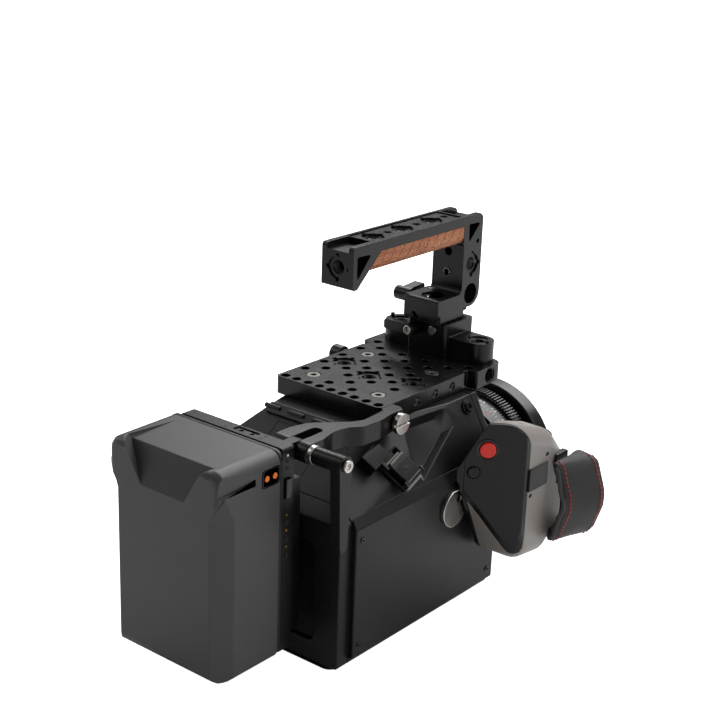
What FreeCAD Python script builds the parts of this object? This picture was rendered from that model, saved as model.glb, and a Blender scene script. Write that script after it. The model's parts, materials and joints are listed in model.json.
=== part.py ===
"""Cinema camera rig: camera body, lens, cheese plate, riser, top handle, side grip and swing-out battery.

Millimetres. +X is the operator's right, +Y points along the lens, +Z is up. The origin is the mouth of
the 3/8 in tripod thread in the base, so the base stands on z = 0.
"""
import FreeCAD, Part
import math
import os

from FreeCAD import Placement, Rotation, Vector

doc = FreeCAD.newDocument("cinema_camera_rig")
sheet = doc.addObject("Spreadsheet::Sheet", "Sizes")

SIZES = {
    # camera body
    "hull_half": 72, "cover_half": 76, "deck_height": 149.3, "shoulder_height": 104,
    "body_rear": -73, "body_front": 95, "panel_thick": 7, "rear_panel_thick": 11,
    "base_thick": 8, "base_half": 62, "tripod_radius": 4.7625, "accessory_radius": 3.175,
    # lens
    "lens_axis_height": 62, "flange_face": 100, "front_ring_radius": 57, "front_ring_start": 187,
    "front_ring_length": 14, "focus_ring_radius": 54.5, "focus_ring_start": 152, "focus_ring_length": 31,
    "focus_seat_radius": 46, "iris_ring_radius": 47.5, "iris_ring_start": 121, "iris_ring_length": 14,
    "iris_seat_radius": 40, "ring_play": 0.05, "lock_ring_radius": 41, "lock_seat_radius": 35,
    # top plate
    "plate_top": 162, "plate_thick": 12.7, "hole_pitch": 10.16, "plate_rear": -4.7, "plate_half": 46,
    "plate_front": 131, "shoulder_half": 51, "locating_radius": 7.8, "locating_depth": 1.6,
    "screw_head_radius": 4.8, "screw_shank_radius": 2.5,
    # riser and rail
    "ear_spread": 34.5, "ear_y": 121, "ear_radius": 11.5, "bar_height": 15, "riser_half": 17,
    "riser_rear": 104.8, "riser_front": 140, "riser_height": 24.2, "rail_top": 31,
    # handle
    "handle_half": 13.5, "handle_rear": 3, "handle_front": 149.5, "handle_top": 99.4,
    "grip_underside": 79, "wood_top": 92.6, "post_rear": 127.5, "base_top": 42.4, "base_bottom": 31.3,
    "base_rear": 99.7, "rod_radius": 7.55, "rod_y": 138.5, "rod_height": 41, "clamp_y": 115,
    "clamp_height": 37, "clamp_screw_radius": 3,
    # battery arm and its hinge
    "arm_thick": 13.5, "hinge_y": -80, "hinge_drop": 6.75, "hinge_radius": 3, "fork_left": 36,
    "fork_right": 44, "lever_length": 58, "thumb_drop": 8,
    # battery plate and battery
    "mount_front": -88.5, "mount_rear": -98.7, "mount_left": -42, "mount_height": 140,
    "battery_half": 48, "battery_front": -100, "battery_case": -143, "battery_rear": -155,
    "battery_height": 140, "battery_wall": 3, "cell_radius": 8.9, "cell_length": 65,
    # side grip
    "rosette_y": 78, "rosette_drop": 72, "rosette_radius": 14, "grip_inner": 80.3, "grip_shell_inner": 84,
    "grip_outer": 116, "strap_rear": 92, "strap_width": 36, "record_radius": 5.5,
}
for row, (alias, value) in enumerate(SIZES.items(), start=1):
    sheet.set(f"A{row}", alias)
    sheet.set(f"B{row}", str(value))
    sheet.setAlias(f"B{row}", alias)
doc.recompute()

TOP = sheet.plate_top
LENS_Z = sheet.lens_axis_height
X_AXIS, Y_AXIS, Z_AXIS = Vector(1, 0, 0), Vector(0, 1, 0), Vector(0, 0, 1)
QUARTER_INCH = sheet.accessory_radius
THREE_EIGHTHS = sheet.tripod_radius
nodes = []


# ---- sketch geometry ------------------------------------------------------------------------------

def outline(points):
    """Lines and corner arcs of a closed outline; a point's third value is its corner radius."""
    corners = []
    count = len(points)
    for i, point in enumerate(points):
        here = Vector(point[0], point[1], 0)
        before = Vector(points[i - 1][0], points[i - 1][1], 0) - here
        after = Vector(points[(i + 1) % count][0], points[(i + 1) % count][1], 0) - here
        radius = point[2] if len(point) > 2 else 0
        if not radius:
            corners.append((here, None, here))
            continue
        half = before.getAngle(after) / 2
        reach = min(radius / math.tan(half), 0.49 * before.Length, 0.49 * after.Length)
        radius = reach * math.tan(half)
        inward = (before.normalize() + after.normalize()).normalize()
        middle = here + inward * (radius / math.sin(half) - radius)
        corners.append((here + before * reach, middle, here + after * reach))
    shapes = []
    for i, (start, middle, end) in enumerate(corners):
        if middle is not None:
            shapes.append(Part.Arc(start, middle, end))
        following = corners[(i + 1) % count][0]
        shapes.append(Part.LineSegment(end, following))
    return shapes


def rectangle(low, high, radius=0):
    """A closed rectangle between two corners, with all four corners rounded alike."""
    return outline([(low[0], low[1], radius), (high[0], low[1], radius),
                    (high[0], high[1], radius), (low[0], high[1], radius)])


def circle(u, v, radius):
    return [Part.Circle(Vector(u, v, 0), Vector(0, 0, 1), radius)]


def locating_notches(u, v, spread=8.8, radius=1.8):
    """Four anti-twist notches around a 3/8 in hole."""
    places = [(u + spread, v), (u, v + spread), (u - spread, v), (u, v - spread)]
    return [Part.Circle(Vector(*place, 0), Vector(0, 0, 1), radius) for place in places]


def mirrored(points):
    """The same outline on the other side of the first axis."""
    return [(-point[0],) + tuple(point[1:]) for point in reversed(points)]


# ---- objects --------------------------------------------------------------------------------------

def bind(item, prop, value):
    """Set a property to a number, or tie it to the sheet with an expression."""
    if isinstance(value, str):
        item.setExpression(prop, value)
    else:
        setattr(item, prop, value)


class Piece:
    """A PartDesign body; each feature runs from `start` along its plane's positive axis for `length`."""

    def __init__(self, name):
        self.body = doc.addObject("PartDesign::Body", name)
        self.count = 0

    def sketch(self, plane, geometry, start, tilt):
        self.count += 1
        sketch = self.body.newObject("Sketcher::SketchObject", f"{self.body.Name}_sketch{self.count}")
        origin = [f for f in self.body.Origin.OriginFeatures if f.Role == f"{plane}_Plane"][0]
        sketch.AttachmentSupport = [(origin, "")]
        sketch.MapMode = "FlatFace"
        if tilt is not None:
            sketch.AttachmentOffset = tilt
        elif isinstance(start, str):
            sign = "-1 * " if plane == "XZ" else ""
            sketch.setExpression("AttachmentOffset.Base.z", f"{sign}({start})")
        else:
            sketch.AttachmentOffset = Placement(Vector(0, 0, -start if plane == "XZ" else start), Rotation())
        sketch.addGeometry(geometry, False)
        return sketch

    def pad(self, plane, geometry, start, length, tilt=None):
        sketch = self.sketch(plane, geometry, start, tilt)
        feature = self.body.newObject("PartDesign::Pad", f"{self.body.Name}_pad{self.count}")
        feature.Profile = sketch
        feature.Reversed = plane == "XZ"
        bind(feature, "Length", length)
        return self

    def pocket(self, plane, geometry, start, length, tilt=None):
        sketch = self.sketch(plane, geometry, start, tilt)
        feature = self.body.newObject("PartDesign::Pocket", f"{self.body.Name}_pocket{self.count}")
        feature.Profile = sketch
        feature.Reversed = plane != "XZ"
        bind(feature, "Length", length)
        return self

    def revolve(self, geometry, base):
        """A revolution about the lens axis of a profile drawn in the YZ plane."""
        sketch = self.sketch("YZ", geometry, 0, None)
        line = Part.LineSegment(Vector(base[0], base[1], 0), Vector(base[0] + 10, base[1], 0))
        sketch.addGeometry(line, True)
        feature = self.body.newObject("PartDesign::Revolution", f"{self.body.Name}_turn{self.count}")
        feature.Profile = sketch
        feature.ReferenceAxis = (sketch, ["Axis0"])
        feature.Angle = 360
        return self


def keep(item, name=None):
    """Register an object as a sub-part under its own name."""
    shape_owner = item.body if isinstance(item, Piece) else item
    shape_owner.Label = name or shape_owner.Name
    nodes.append(shape_owner)
    return shape_owner


def source(item):
    return item.body if isinstance(item, Piece) else item


def cylinder(name, at, axis, radius, length):
    item = doc.addObject("Part::Cylinder", name)
    bind(item, "Radius", radius)
    bind(item, "Height", length)
    item.Placement = Placement(Vector(*at), Rotation(Z_AXIS, axis))
    return item


def box(name, low, size, turn=None):
    item = doc.addObject("Part::Box", name)
    for prop, value in zip(("Length", "Width", "Height"), size):
        bind(item, prop, value)
    item.Placement = Placement(Vector(*low), turn or Rotation())
    return item


def hexagon(name, at, axis, radius, length):
    item = doc.addObject("Part::Prism", name)
    item.Polygon = 6
    bind(item, "Circumradius", radius)
    bind(item, "Height", length)
    item.Placement = Placement(Vector(*at), Rotation(Z_AXIS, axis))
    return item


def fuse(name, *items):
    item = doc.addObject("Part::MultiFuse", name)
    item.Shapes = [source(part) for part in items]
    return item


def cut(name, base, *tools):
    tool = source(tools[0]) if len(tools) == 1 else fuse(f"{name}_tools", *tools)
    item = doc.addObject("Part::Cut", name)
    item.Base = source(base)
    item.Tool = tool
    return item


def common(name, first, second):
    item = doc.addObject("Part::Common", name)
    item.Base = source(first)
    item.Tool = source(second)
    return item


def group(name, items):
    """Separate solids kept together as one sub-part."""
    item = doc.addObject("Part::Compound", name)
    item.Links = [source(part) for part in items]
    return item


def socket_screw(name, at, axis, head_radius, head_length, shank_radius, shank_length):
    """A socket head screw; `at` is the centre of the head's outer face, `axis` points into the work."""
    start = Vector(*at)
    head = cylinder(f"{name}_head", start, axis, head_radius, head_length)
    shank = cylinder(f"{name}_shank", start + axis * 0.5, axis, shank_radius, shank_length)
    drive = hexagon(f"{name}_drive", start, axis, 0.5 * sheet.screw_head_radius, 2)
    body = fuse(f"{name}_body", head, shank)
    return cut(name, body, drive)


# ---- camera body ----------------------------------------------------------------------------------

DECK = sheet.deck_height
HALF = sheet.hull_half
REAR, FRONT = sheet.body_rear, sheet.body_front
CASE_REAR = REAR + sheet.rear_panel_thick
CASE_FRONT = FRONT - sheet.panel_thick
DECK_HALF = 53
BEND = 111.9
SLOPE_TOP, SLOPE_FOOT = -19, 108


def hull_outline():
    half = [(HALF, sheet.base_thick, 3), (HALF, BEND), (DECK_HALF, DECK)]
    return outline(half + mirrored(half))


def slope_cut(piece):
    """Take away everything above the slope that falls from the deck to the back."""
    run = (DECK - SLOPE_FOOT) / (SLOPE_TOP - REAR)
    above = [(REAR - 10, SLOPE_FOOT - 10 * run), (SLOPE_TOP, DECK), (SLOPE_TOP + 12, DECK + 12 * run),
             (REAR - 10, DECK + 12 * run)]
    return piece.pocket("YZ", outline(above), -HALF - 10, 2 * HALF + 20)


def flank_cut(name, base):
    """Narrow the deck towards the back with one slanting facet on each side."""
    normal = Vector(0.640, -0.148, 0.753)
    tools = []
    for side in (1, -1):
        facing = Vector(side * normal.x, normal.y, normal.z)
        tool = box(f"{name}_facet{side + 1}", (0, 0, 0), (300, 300, 60))
        turn = Rotation(Z_AXIS, facing)
        tool.Placement = Placement(Vector(side * 52, 59, DECK) - turn.multVec(Vector(150, 150, 0)), turn)
        tools.append(tool)
    return cut(name, base, *tools)


def camera_body():
    case = Piece("case_solid")
    case.pad("XZ", hull_outline(), CASE_REAR, CASE_FRONT - CASE_REAR)
    front_room = [(68, 12), (68, 106), (44, 138)]
    rear_room = [(68, 12), (68, 94), (30, 118)]
    case.pocket("XZ", outline(front_room + mirrored(front_room)), 40, CASE_FRONT - 40)
    case.pocket("XZ", outline(rear_room + mirrored(rear_room)), -42, 90)
    low_room = [(68, 12), (68, 88), (40, 98)]
    case.pocket("XZ", outline(low_room + mirrored(low_room)), CASE_REAR, 30)
    slope_cut(case)
    case.pocket("XY", rectangle((-33, -12), (33, CASE_FRONT)), DECK - 3, 10)
    keep(flank_cut("main_casing", case))

    keep(Piece("top_cover").pad("XY", rectangle((-33, -12), (33, CASE_FRONT)), DECK - 3, 3))

    side = [(HALF, 12), (76, 14, 1.5), (76, sheet.shoulder_height, 1), (HALF, BEND)]
    right = Piece("right_cover").pad("XZ", outline(side), CASE_REAR, FRONT - CASE_REAR)
    slope_cut(right)
    right.pad("YZ", circle(sheet.rosette_y, TOP - sheet.rosette_drop, sheet.rosette_radius), 75, 3)
    keep(right)
    left = Piece("left_cover").pad("XZ", outline(mirrored(side)), CASE_REAR, FRONT - CASE_REAR)
    slope_cut(left)
    left.pocket("YZ", rectangle((-40, 28), (52, 88), 4), -sheet.cover_half, 2)
    keep(left)

    front = Piece("front_panel").pad("XZ", hull_outline(), CASE_FRONT, "Sizes.panel_thick")
    front.pocket("XZ", circle(0, LENS_Z, 30), CASE_FRONT, sheet.panel_thick)
    keep(front)

    rear = Piece("rear_solid").pad("XZ", hull_outline(), REAR, "Sizes.rear_panel_thick")
    slope_cut(rear)
    rear.pocket("XZ", rectangle((-52, 22), (52, 92), 5), REAR, 4)
    keep(flank_cut("rear_panel", rear))

    base = Piece("base_plate")
    base.pad("XY", rectangle((-sheet.base_half, -66), (sheet.base_half, 86), 8), 0, "Sizes.base_thick")
    base.pocket("XY", circle(0, 0, THREE_EIGHTHS) + circle(0, 24, QUARTER_INCH), 0, sheet.base_thick)
    keep(base)


def camera_inside():
    frame = Piece("sensor_frame").pad("XZ", rectangle((-67.9, 12.1), (67.9, 92)), 38, 4)
    frame.pocket("XZ", rectangle((-16, LENS_Z - 12), (16, LENS_Z + 12), 2), 38, 4)
    keep(frame)
    sensor = Piece("sensor_block").pad("XZ", rectangle((-24, LENS_Z - 19), (24, LENS_Z + 19), 2), 42, 6)
    keep(sensor)
    board = Piece("main_board").pad("XZ", rectangle((-67.9, 12.1), (67.9, 90)), 8, 2)
    keep(board)
    fan = Piece("cooling_fan").pad("XZ", rectangle((-20, 40), (20, 80), 4), -48, 10)
    fan.pocket("XZ", circle(0, 60, 17), -48, 8)
    fan.pad("XZ", circle(0, 60, 7), -48, 10)
    keep(fan)


def camera_fittings():
    strip = Piece("rear_strip")
    run = math.atan2(DECK - SLOPE_FOOT, SLOPE_TOP - REAR)
    down = Vector(-math.cos(run), -math.sin(run), 0)
    out = Vector(-math.sin(run), math.cos(run), 0)
    head = Vector(SLOPE_TOP, DECK, 0) + down * 1
    corners = [head, head + down * 8, head + down * 8 + out * 2.4, head + out * 2.4]
    strip.pad("YZ", outline([(p.x, p.y) for p in corners]), -34, 66)
    keep(strip)

    outward = Vector(0.640, -0.148, 0.753)
    turn = Rotation(Z_AXIS, Vector(0.8915, 0, 0.453))
    seat = Vector(DECK_HALF + (DECK - 142.5) * 0.5077 + 0.03, 79, 142.5)
    axis = turn.multVec(Z_AXIS)
    boss = cylinder("bolt_boss", seat, axis, 5.2, 1.6)
    head = cylinder("bolt_head", seat + axis * 1.6, axis, 3.6, 1.8)
    drive = hexagon("bolt_drive", seat + axis * 1.9, axis, 2, 2)
    keep(cut("flank_bolt", fuse("bolt_body", boss, head), drive))

    # the cable clamp stands on the right-hand facet, square to it
    facet = Rotation(Z_AXIS, outward)
    foot = Vector(65.3, -7.8, 0)
    foot.z = DECK - (0.640 * (foot.x - 52) - 0.148 * (foot.y - 59)) / 0.753
    place = Placement(foot, facet.multiply(Rotation(Z_AXIS, 12)))
    block = doc.addObject("Part::Box", "clamp_block_solid")
    block.Length, block.Width, block.Height = 12, 18, 9
    block.Placement = place.multiply(Placement(Vector(-23, -20, 0), Rotation()))
    bed = doc.addObject("Part::Box", "clamp_bed")
    bed.Length, bed.Width, bed.Height = 25, 22, 3
    bed.Placement = place.multiply(Placement(Vector(-13, -11, 0), Rotation()))
    parts = [block, bed]
    for low in (-10.6, 8.6):
        ear = doc.addObject("Part::Box", "clamp_ear")
        ear.Length, ear.Width, ear.Height = 4, 2, 5
        ear.Placement = place.multiply(Placement(Vector(8, low, 2.5), Rotation()))
        parts.append(ear)
    pivot = Vector(10, 0, 5.4)
    bore = doc.addObject("Part::Cylinder", "clamp_pin_bore")
    bore.Radius, bore.Height = 1.05, 24
    bore.Placement = place.multiply(Placement(pivot - Y_AXIS * 12, Rotation(Z_AXIS, Y_AXIS)))
    keep(cut("cable_clamp", fuse("clamp_solid", *parts), bore))
    latch = doc.addObject("Part::Box", "latch_leaf")
    latch.Length, latch.Width, latch.Height = 16, 16, 3.4
    latch.Placement = place.multiply(Placement(Vector(-6, -8, 3.8), Rotation()))
    barrel = doc.addObject("Part::Cylinder", "latch_barrel")
    barrel.Radius, barrel.Height = 1.9, 16
    barrel.Placement = place.multiply(Placement(pivot - Y_AXIS * 8, Rotation(Z_AXIS, Y_AXIS)))
    pin = doc.addObject("Part::Cylinder", "latch_pin")
    pin.Radius, pin.Height = 1, 21
    pin.Placement = place.multiply(Placement(pivot - Y_AXIS * 10.5, Rotation(Z_AXIS, Y_AXIS)))
    keep(fuse("cable_latch", latch, barrel, pin))
    latch_axis = place.Rotation.multVec(Y_AXIS)
    latch_point = place.multVec(pivot)
    print("latch axis", [round(c, 4) for c in latch_axis], "through", [round(c, 2) for c in latch_point])

    lug = Piece("strap_lug").pad("YZ", circle(39.7, TOP - 76, 13), sheet.cover_half, 3.2)
    lug.pocket("YZ", circle(43.7, TOP - 69.8, 2.2), sheet.cover_half, 3.2)
    keep(lug)

    panel = Piece("connector_panel")
    panel.pad("YZ", rectangle((-39.9, 28.1), (51.9, 87.9), 4), -sheet.cover_half, 2)
    ports = [(-24, 70), (0, 70), (24, 70)]
    for y, z in ports:
        panel.pocket("YZ", circle(y, z, 4.8), -sheet.cover_half, 2)
    panel.pocket("YZ", rectangle((-30, 38), (-8, 50), 2) + rectangle((4, 38), (26, 50), 2), -sheet.cover_half, 1.2)
    keep(panel)
    sockets = []
    for number, (y, z) in enumerate(ports):
        shell = cylinder(f"video_shell{number}", (-sheet.cover_half - 9, y, z), X_AXIS, 4.7, 11)
        bore = cylinder(f"video_bore{number}", (-sheet.cover_half - 9, y, z), X_AXIS, 3.6, 8)
        core = cylinder(f"video_core{number}", (-sheet.cover_half - 7, y, z), X_AXIS, 1.2, 7)
        sockets.append(fuse(f"video_socket{number}", cut(f"video_tube{number}", shell, bore), core))
    keep(group("video_sockets", sockets))


# ---- lens -----------------------------------------------------------------------------------------

def turned(name, profile):
    """A piece turned about the lens axis from (y, radius) points."""
    piece = Piece(name)
    points = [(p[0], LENS_Z + p[1]) + tuple(p[2:]) for p in profile]
    return piece.revolve(outline(points), (sheet.flange_face, LENS_Z))


def lens():
    face = sheet.flange_face
    keep(turned("lens_mount", [(FRONT, 27), (FRONT, 35), (face, 35), (face, 27)]))
    seat = sheet.lock_seat_radius + sheet.ring_play
    lock = turned("mount_lock_ring", [(FRONT + 0.3, seat), (FRONT + 0.3, sheet.lock_ring_radius, 1),
                                      (face + 3, sheet.lock_ring_radius, 1), (face + 3, seat)])
    for turn in (45, 135, 225, 315):
        u, v = math.cos(math.radians(turn)), math.sin(math.radians(turn))
        wing = circle(u * sheet.lock_ring_radius, LENS_Z + v * sheet.lock_ring_radius, 4.5)
        lock.pad("XZ", wing, FRONT + 0.6, face + 2 - FRONT)
        lock.pocket("XZ", circle(0, LENS_Z, seat), FRONT, face + 4 - FRONT)
    keep(lock)

    iris_end = sheet.iris_ring_start + sheet.iris_ring_length
    focus_end = sheet.focus_ring_start + sheet.focus_ring_length
    front_end = sheet.front_ring_start + sheet.front_ring_length
    barrel = [(face - 8, 22), (face - 8, 26.8), (face, 26.8), (face, 34.8), (face + 3.4, 34.8),
              (face + 3.4, 38, 1.5), (face + 12, 43, 2), (sheet.iris_ring_start - 0.4, 43),
              (sheet.iris_ring_start - 0.4, sheet.iris_seat_radius), (iris_end + 0.4, sheet.iris_seat_radius),
              (iris_end + 0.4, 44.5, 0.8), (sheet.focus_ring_start - 0.4, 48.5, 0.8),
              (sheet.focus_ring_start - 0.4, sheet.focus_seat_radius), (focus_end + 4, sheet.focus_seat_radius),
              (focus_end + 4, 42), (150, 36), (120, 30)]
    keep(turned("lens_barrel", barrel))

    iris_seat = sheet.iris_seat_radius + sheet.ring_play
    keep(turned("iris_ring", [(sheet.iris_ring_start, iris_seat), (sheet.iris_ring_start, sheet.iris_ring_radius, 0.6),
                              (iris_end, sheet.iris_ring_radius, 0.6), (iris_end, iris_seat)]))
    focus_seat = sheet.focus_seat_radius + sheet.ring_play
    keep(turned("focus_ring", [(sheet.focus_ring_start, focus_seat), (sheet.focus_ring_start, 50.5, 1),
                               (focus_end - 12, 50.5), (focus_end - 11, sheet.focus_ring_radius),
                               (focus_end - 3, sheet.focus_ring_radius), (focus_end, 51.5), (focus_end, focus_seat)]))
    keep(turned("front_ring", [(focus_end + 4, 40), (focus_end + 4, 50), (sheet.front_ring_start, 56, 1),
                               (sheet.front_ring_start + 1, sheet.front_ring_radius, 1),
                               (front_end, sheet.front_ring_radius, 1.5), (front_end, 51, 1),
                               (front_end - 6, 47.1), (front_end - 11, 47.1), (front_end - 11, 40)]))
    glass = doc.addObject("Part::Feature", "lens_glass")
    front_ball = Part.makeSphere(95, Vector(0, front_end - 3 - 95, LENS_Z))
    front_disc = Part.makeCylinder(47, 12, Vector(0, front_end - 11, LENS_Z), Y_AXIS).common(front_ball)
    rear_ball = Part.makeSphere(60, Vector(0, face - 7.5 + 60, LENS_Z))
    rear_disc = Part.makeCylinder(22, 6, Vector(0, face - 8, LENS_Z), Y_AXIS).common(rear_ball)
    glass.Shape = Part.makeCompound([front_disc, rear_disc])
    keep(glass)


# ---- top plate, riser and rail --------------------------------------------------------------------

HOLE_ROWS = ("ooooooooo", "...o.o...", "o...o....", ".o.o.o.o.", "o.o...o..", "...o.o...",
             "o.o.o.o..", "...o.o...", "o.o.o.o..", ".o.o.o.o.", "o.......o")
LOCATING_HOLES = ((1, 5), (4, 4), (7, 5))
SIDE_HOLES = (15, 35.3, 55.7, 75.5)
PLATE_SCREWS = [(x, y) for x in (-28.5, 28.5) for y in (15.2, 74.9)]
SIDE_HOLE_DROP = 6.2


def grid(column, row):
    """Centre of a cell of the plate's 0.4 in hole grid."""
    return (column - 4) * sheet.hole_pitch, row * sheet.hole_pitch


def top_plate():
    half, wide = sheet.plate_half, sheet.shoulder_half
    right = [(half, sheet.plate_rear, 4), (half, 90, 1), (half - 2.5, 91.5, 1), (half - 2.5, 96.5, 1),
             (wide, 98, 2), (wide, sheet.plate_front, 9)]
    plate = Piece("top_plate")
    plate.pad("XY", outline(right + mirrored(right)), TOP - sheet.plate_thick, "Sizes.plate_thick")
    holes = []
    for row, marks in enumerate(HOLE_ROWS):
        for column, mark in enumerate(marks):
            if mark == "o":
                holes += circle(*grid(column, row), QUARTER_INCH)
    plate.pocket("XY", holes, TOP - sheet.plate_thick, sheet.plate_thick)
    for cell in LOCATING_HOLES:
        plate.pocket("XY", circle(*grid(*cell), THREE_EIGHTHS), TOP - sheet.plate_thick, sheet.plate_thick)
        plate.pocket("XY", circle(*grid(*cell), sheet.locating_radius), TOP - sheet.locating_depth, 5)
        plate.pocket("XY", locating_notches(*grid(*cell)), TOP - sheet.locating_depth - 1, 5)
    shanks = []
    counterbores = []
    for place in PLATE_SCREWS:
        shanks += circle(*place, sheet.screw_shank_radius + 0.1)
        counterbores += circle(*place, sheet.screw_head_radius + 0.3)
    plate.pocket("XY", shanks, TOP - sheet.plate_thick, sheet.plate_thick)
    plate.pocket("XY", counterbores, TOP - 5.4, 6)
    sides = []
    for y in SIDE_HOLES:
        sides += circle(y, TOP - SIDE_HOLE_DROP, QUARTER_INCH)
    plate.pocket("YZ", sides, half - 10, 12)
    plate.pocket("YZ", circle(0, TOP - sheet.thumb_drop, 2.52), half - 2.2, 3)
    plate.pocket("YZ", circle(74, TOP - 6, 2.52), -half - 1, 13)
    plate.pocket("YZ", circle(114, TOP - 6.35, THREE_EIGHTHS), wide - 14, 15)
    plate.pocket("YZ", circle(114, TOP - 6.35, 5.6), wide - 1, 2)
    ear_pilot = circle(-sheet.ear_spread, sheet.ear_y, 2.5) + circle(sheet.ear_spread, sheet.ear_y, 2.5)
    plate.pocket("XY", ear_pilot, TOP - sheet.plate_thick, sheet.plate_thick)
    keep(plate)

    screws = [socket_screw(f"plate_screw{number}", (x, y, TOP - 0.3), -Z_AXIS, "Sizes.screw_head_radius", 5,
                           "Sizes.screw_shank_radius", sheet.plate_thick - 0.8)
              for number, (x, y) in enumerate(PLATE_SCREWS)]
    keep(group("plate_screws", screws))


def rail_profile():
    """Cross-section of the rail, from its neck up."""
    half = [(7, 24.2), (7, 25.5), (10.2, 28), (10.2, 29), (8.7, sheet.rail_top)]
    return outline([(x, TOP + z) for x, z in half] + [(-x, TOP + z) for x, z in reversed(half)])


LEVER_X, LEVER_Z = -8, TOP + 18.6
BUTTON_X, BUTTON_Z = 6.5, TOP + 19


def riser():
    spread, ear_y, radius = sheet.ear_spread, sheet.ear_y, sheet.ear_radius
    block = Piece("riser")
    bar = rectangle((-spread - radius, ear_y - radius), (spread + radius, ear_y + radius), radius - 0.01)
    block.pad("XY", bar, "Sizes.plate_top", "Sizes.bar_height")
    rear, front, half = sheet.riser_rear, sheet.riser_front, sheet.riser_half
    tower = [(-half, rear, 3), (half, rear, 4), (half, front, 3), (-half, front, 3)]
    block.pad("XY", outline(tower), "Sizes.plate_top", "Sizes.riser_height")
    for side in (-1, 1):
        block.pocket("XY", circle(side * spread, ear_y, THREE_EIGHTHS), TOP, sheet.bar_height)
        block.pocket("XY", circle(side * spread, ear_y, sheet.locating_radius), TOP + sheet.bar_height - 1.4, 3)
        block.pocket("XY", locating_notches(side * spread, ear_y, 8, 1.2), TOP + sheet.bar_height - 1.4, 3)
    block.pocket("XZ", circle(BUTTON_X, BUTTON_Z, 3.6), rear, 8)
    block.pocket("XZ", circle(LEVER_X, LEVER_Z, 2.5), rear, 12)
    for side in (-1, 1):
        pin = circle(side * (spread + 9.6), ear_y - 2 * side, 1.6)
        block.pad("XY", pin, TOP + sheet.bar_height - 1, 3)
    keep(block)
    keep(Piece("nato_rail").pad("XZ", rail_profile(), sheet.riser_rear, sheet.riser_front - sheet.riser_rear))

    lever = Piece("riser_lever")
    lever.pad("XZ", circle(LEVER_X, LEVER_Z, 5), 93, rear - 0.4 - 93)
    paddle = [(LEVER_X, LEVER_Z + 4.4), (-29.5, LEVER_Z + 4, 2), (-29.5, LEVER_Z - 3.4, 2), (LEVER_X, LEVER_Z - 4.4)]
    lever.pad("XZ", outline(paddle), 93, 5.5)
    lever.pocket("XZ", circle(LEVER_X, LEVER_Z, 2.55), 90, 20)
    lever.pocket("XZ", circle(LEVER_X, LEVER_Z, 3.8), 93, 2)
    keep(lever)
    keep(socket_screw("riser_lever_screw", (LEVER_X, 92.6, LEVER_Z), Y_AXIS, 3.4, 2, 2.5, 20))
    button = cylinder("riser_button", (BUTTON_X, rear - 2.4, BUTTON_Z), Y_AXIS, 3.5, 7.6)
    keep(button)


# ---- top handle -----------------------------------------------------------------------------------

HANDLE_LOCATING = (39.3, 71, 104.5)
HANDLE_THREADS = (55.2, 87.5, 119.7)


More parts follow.
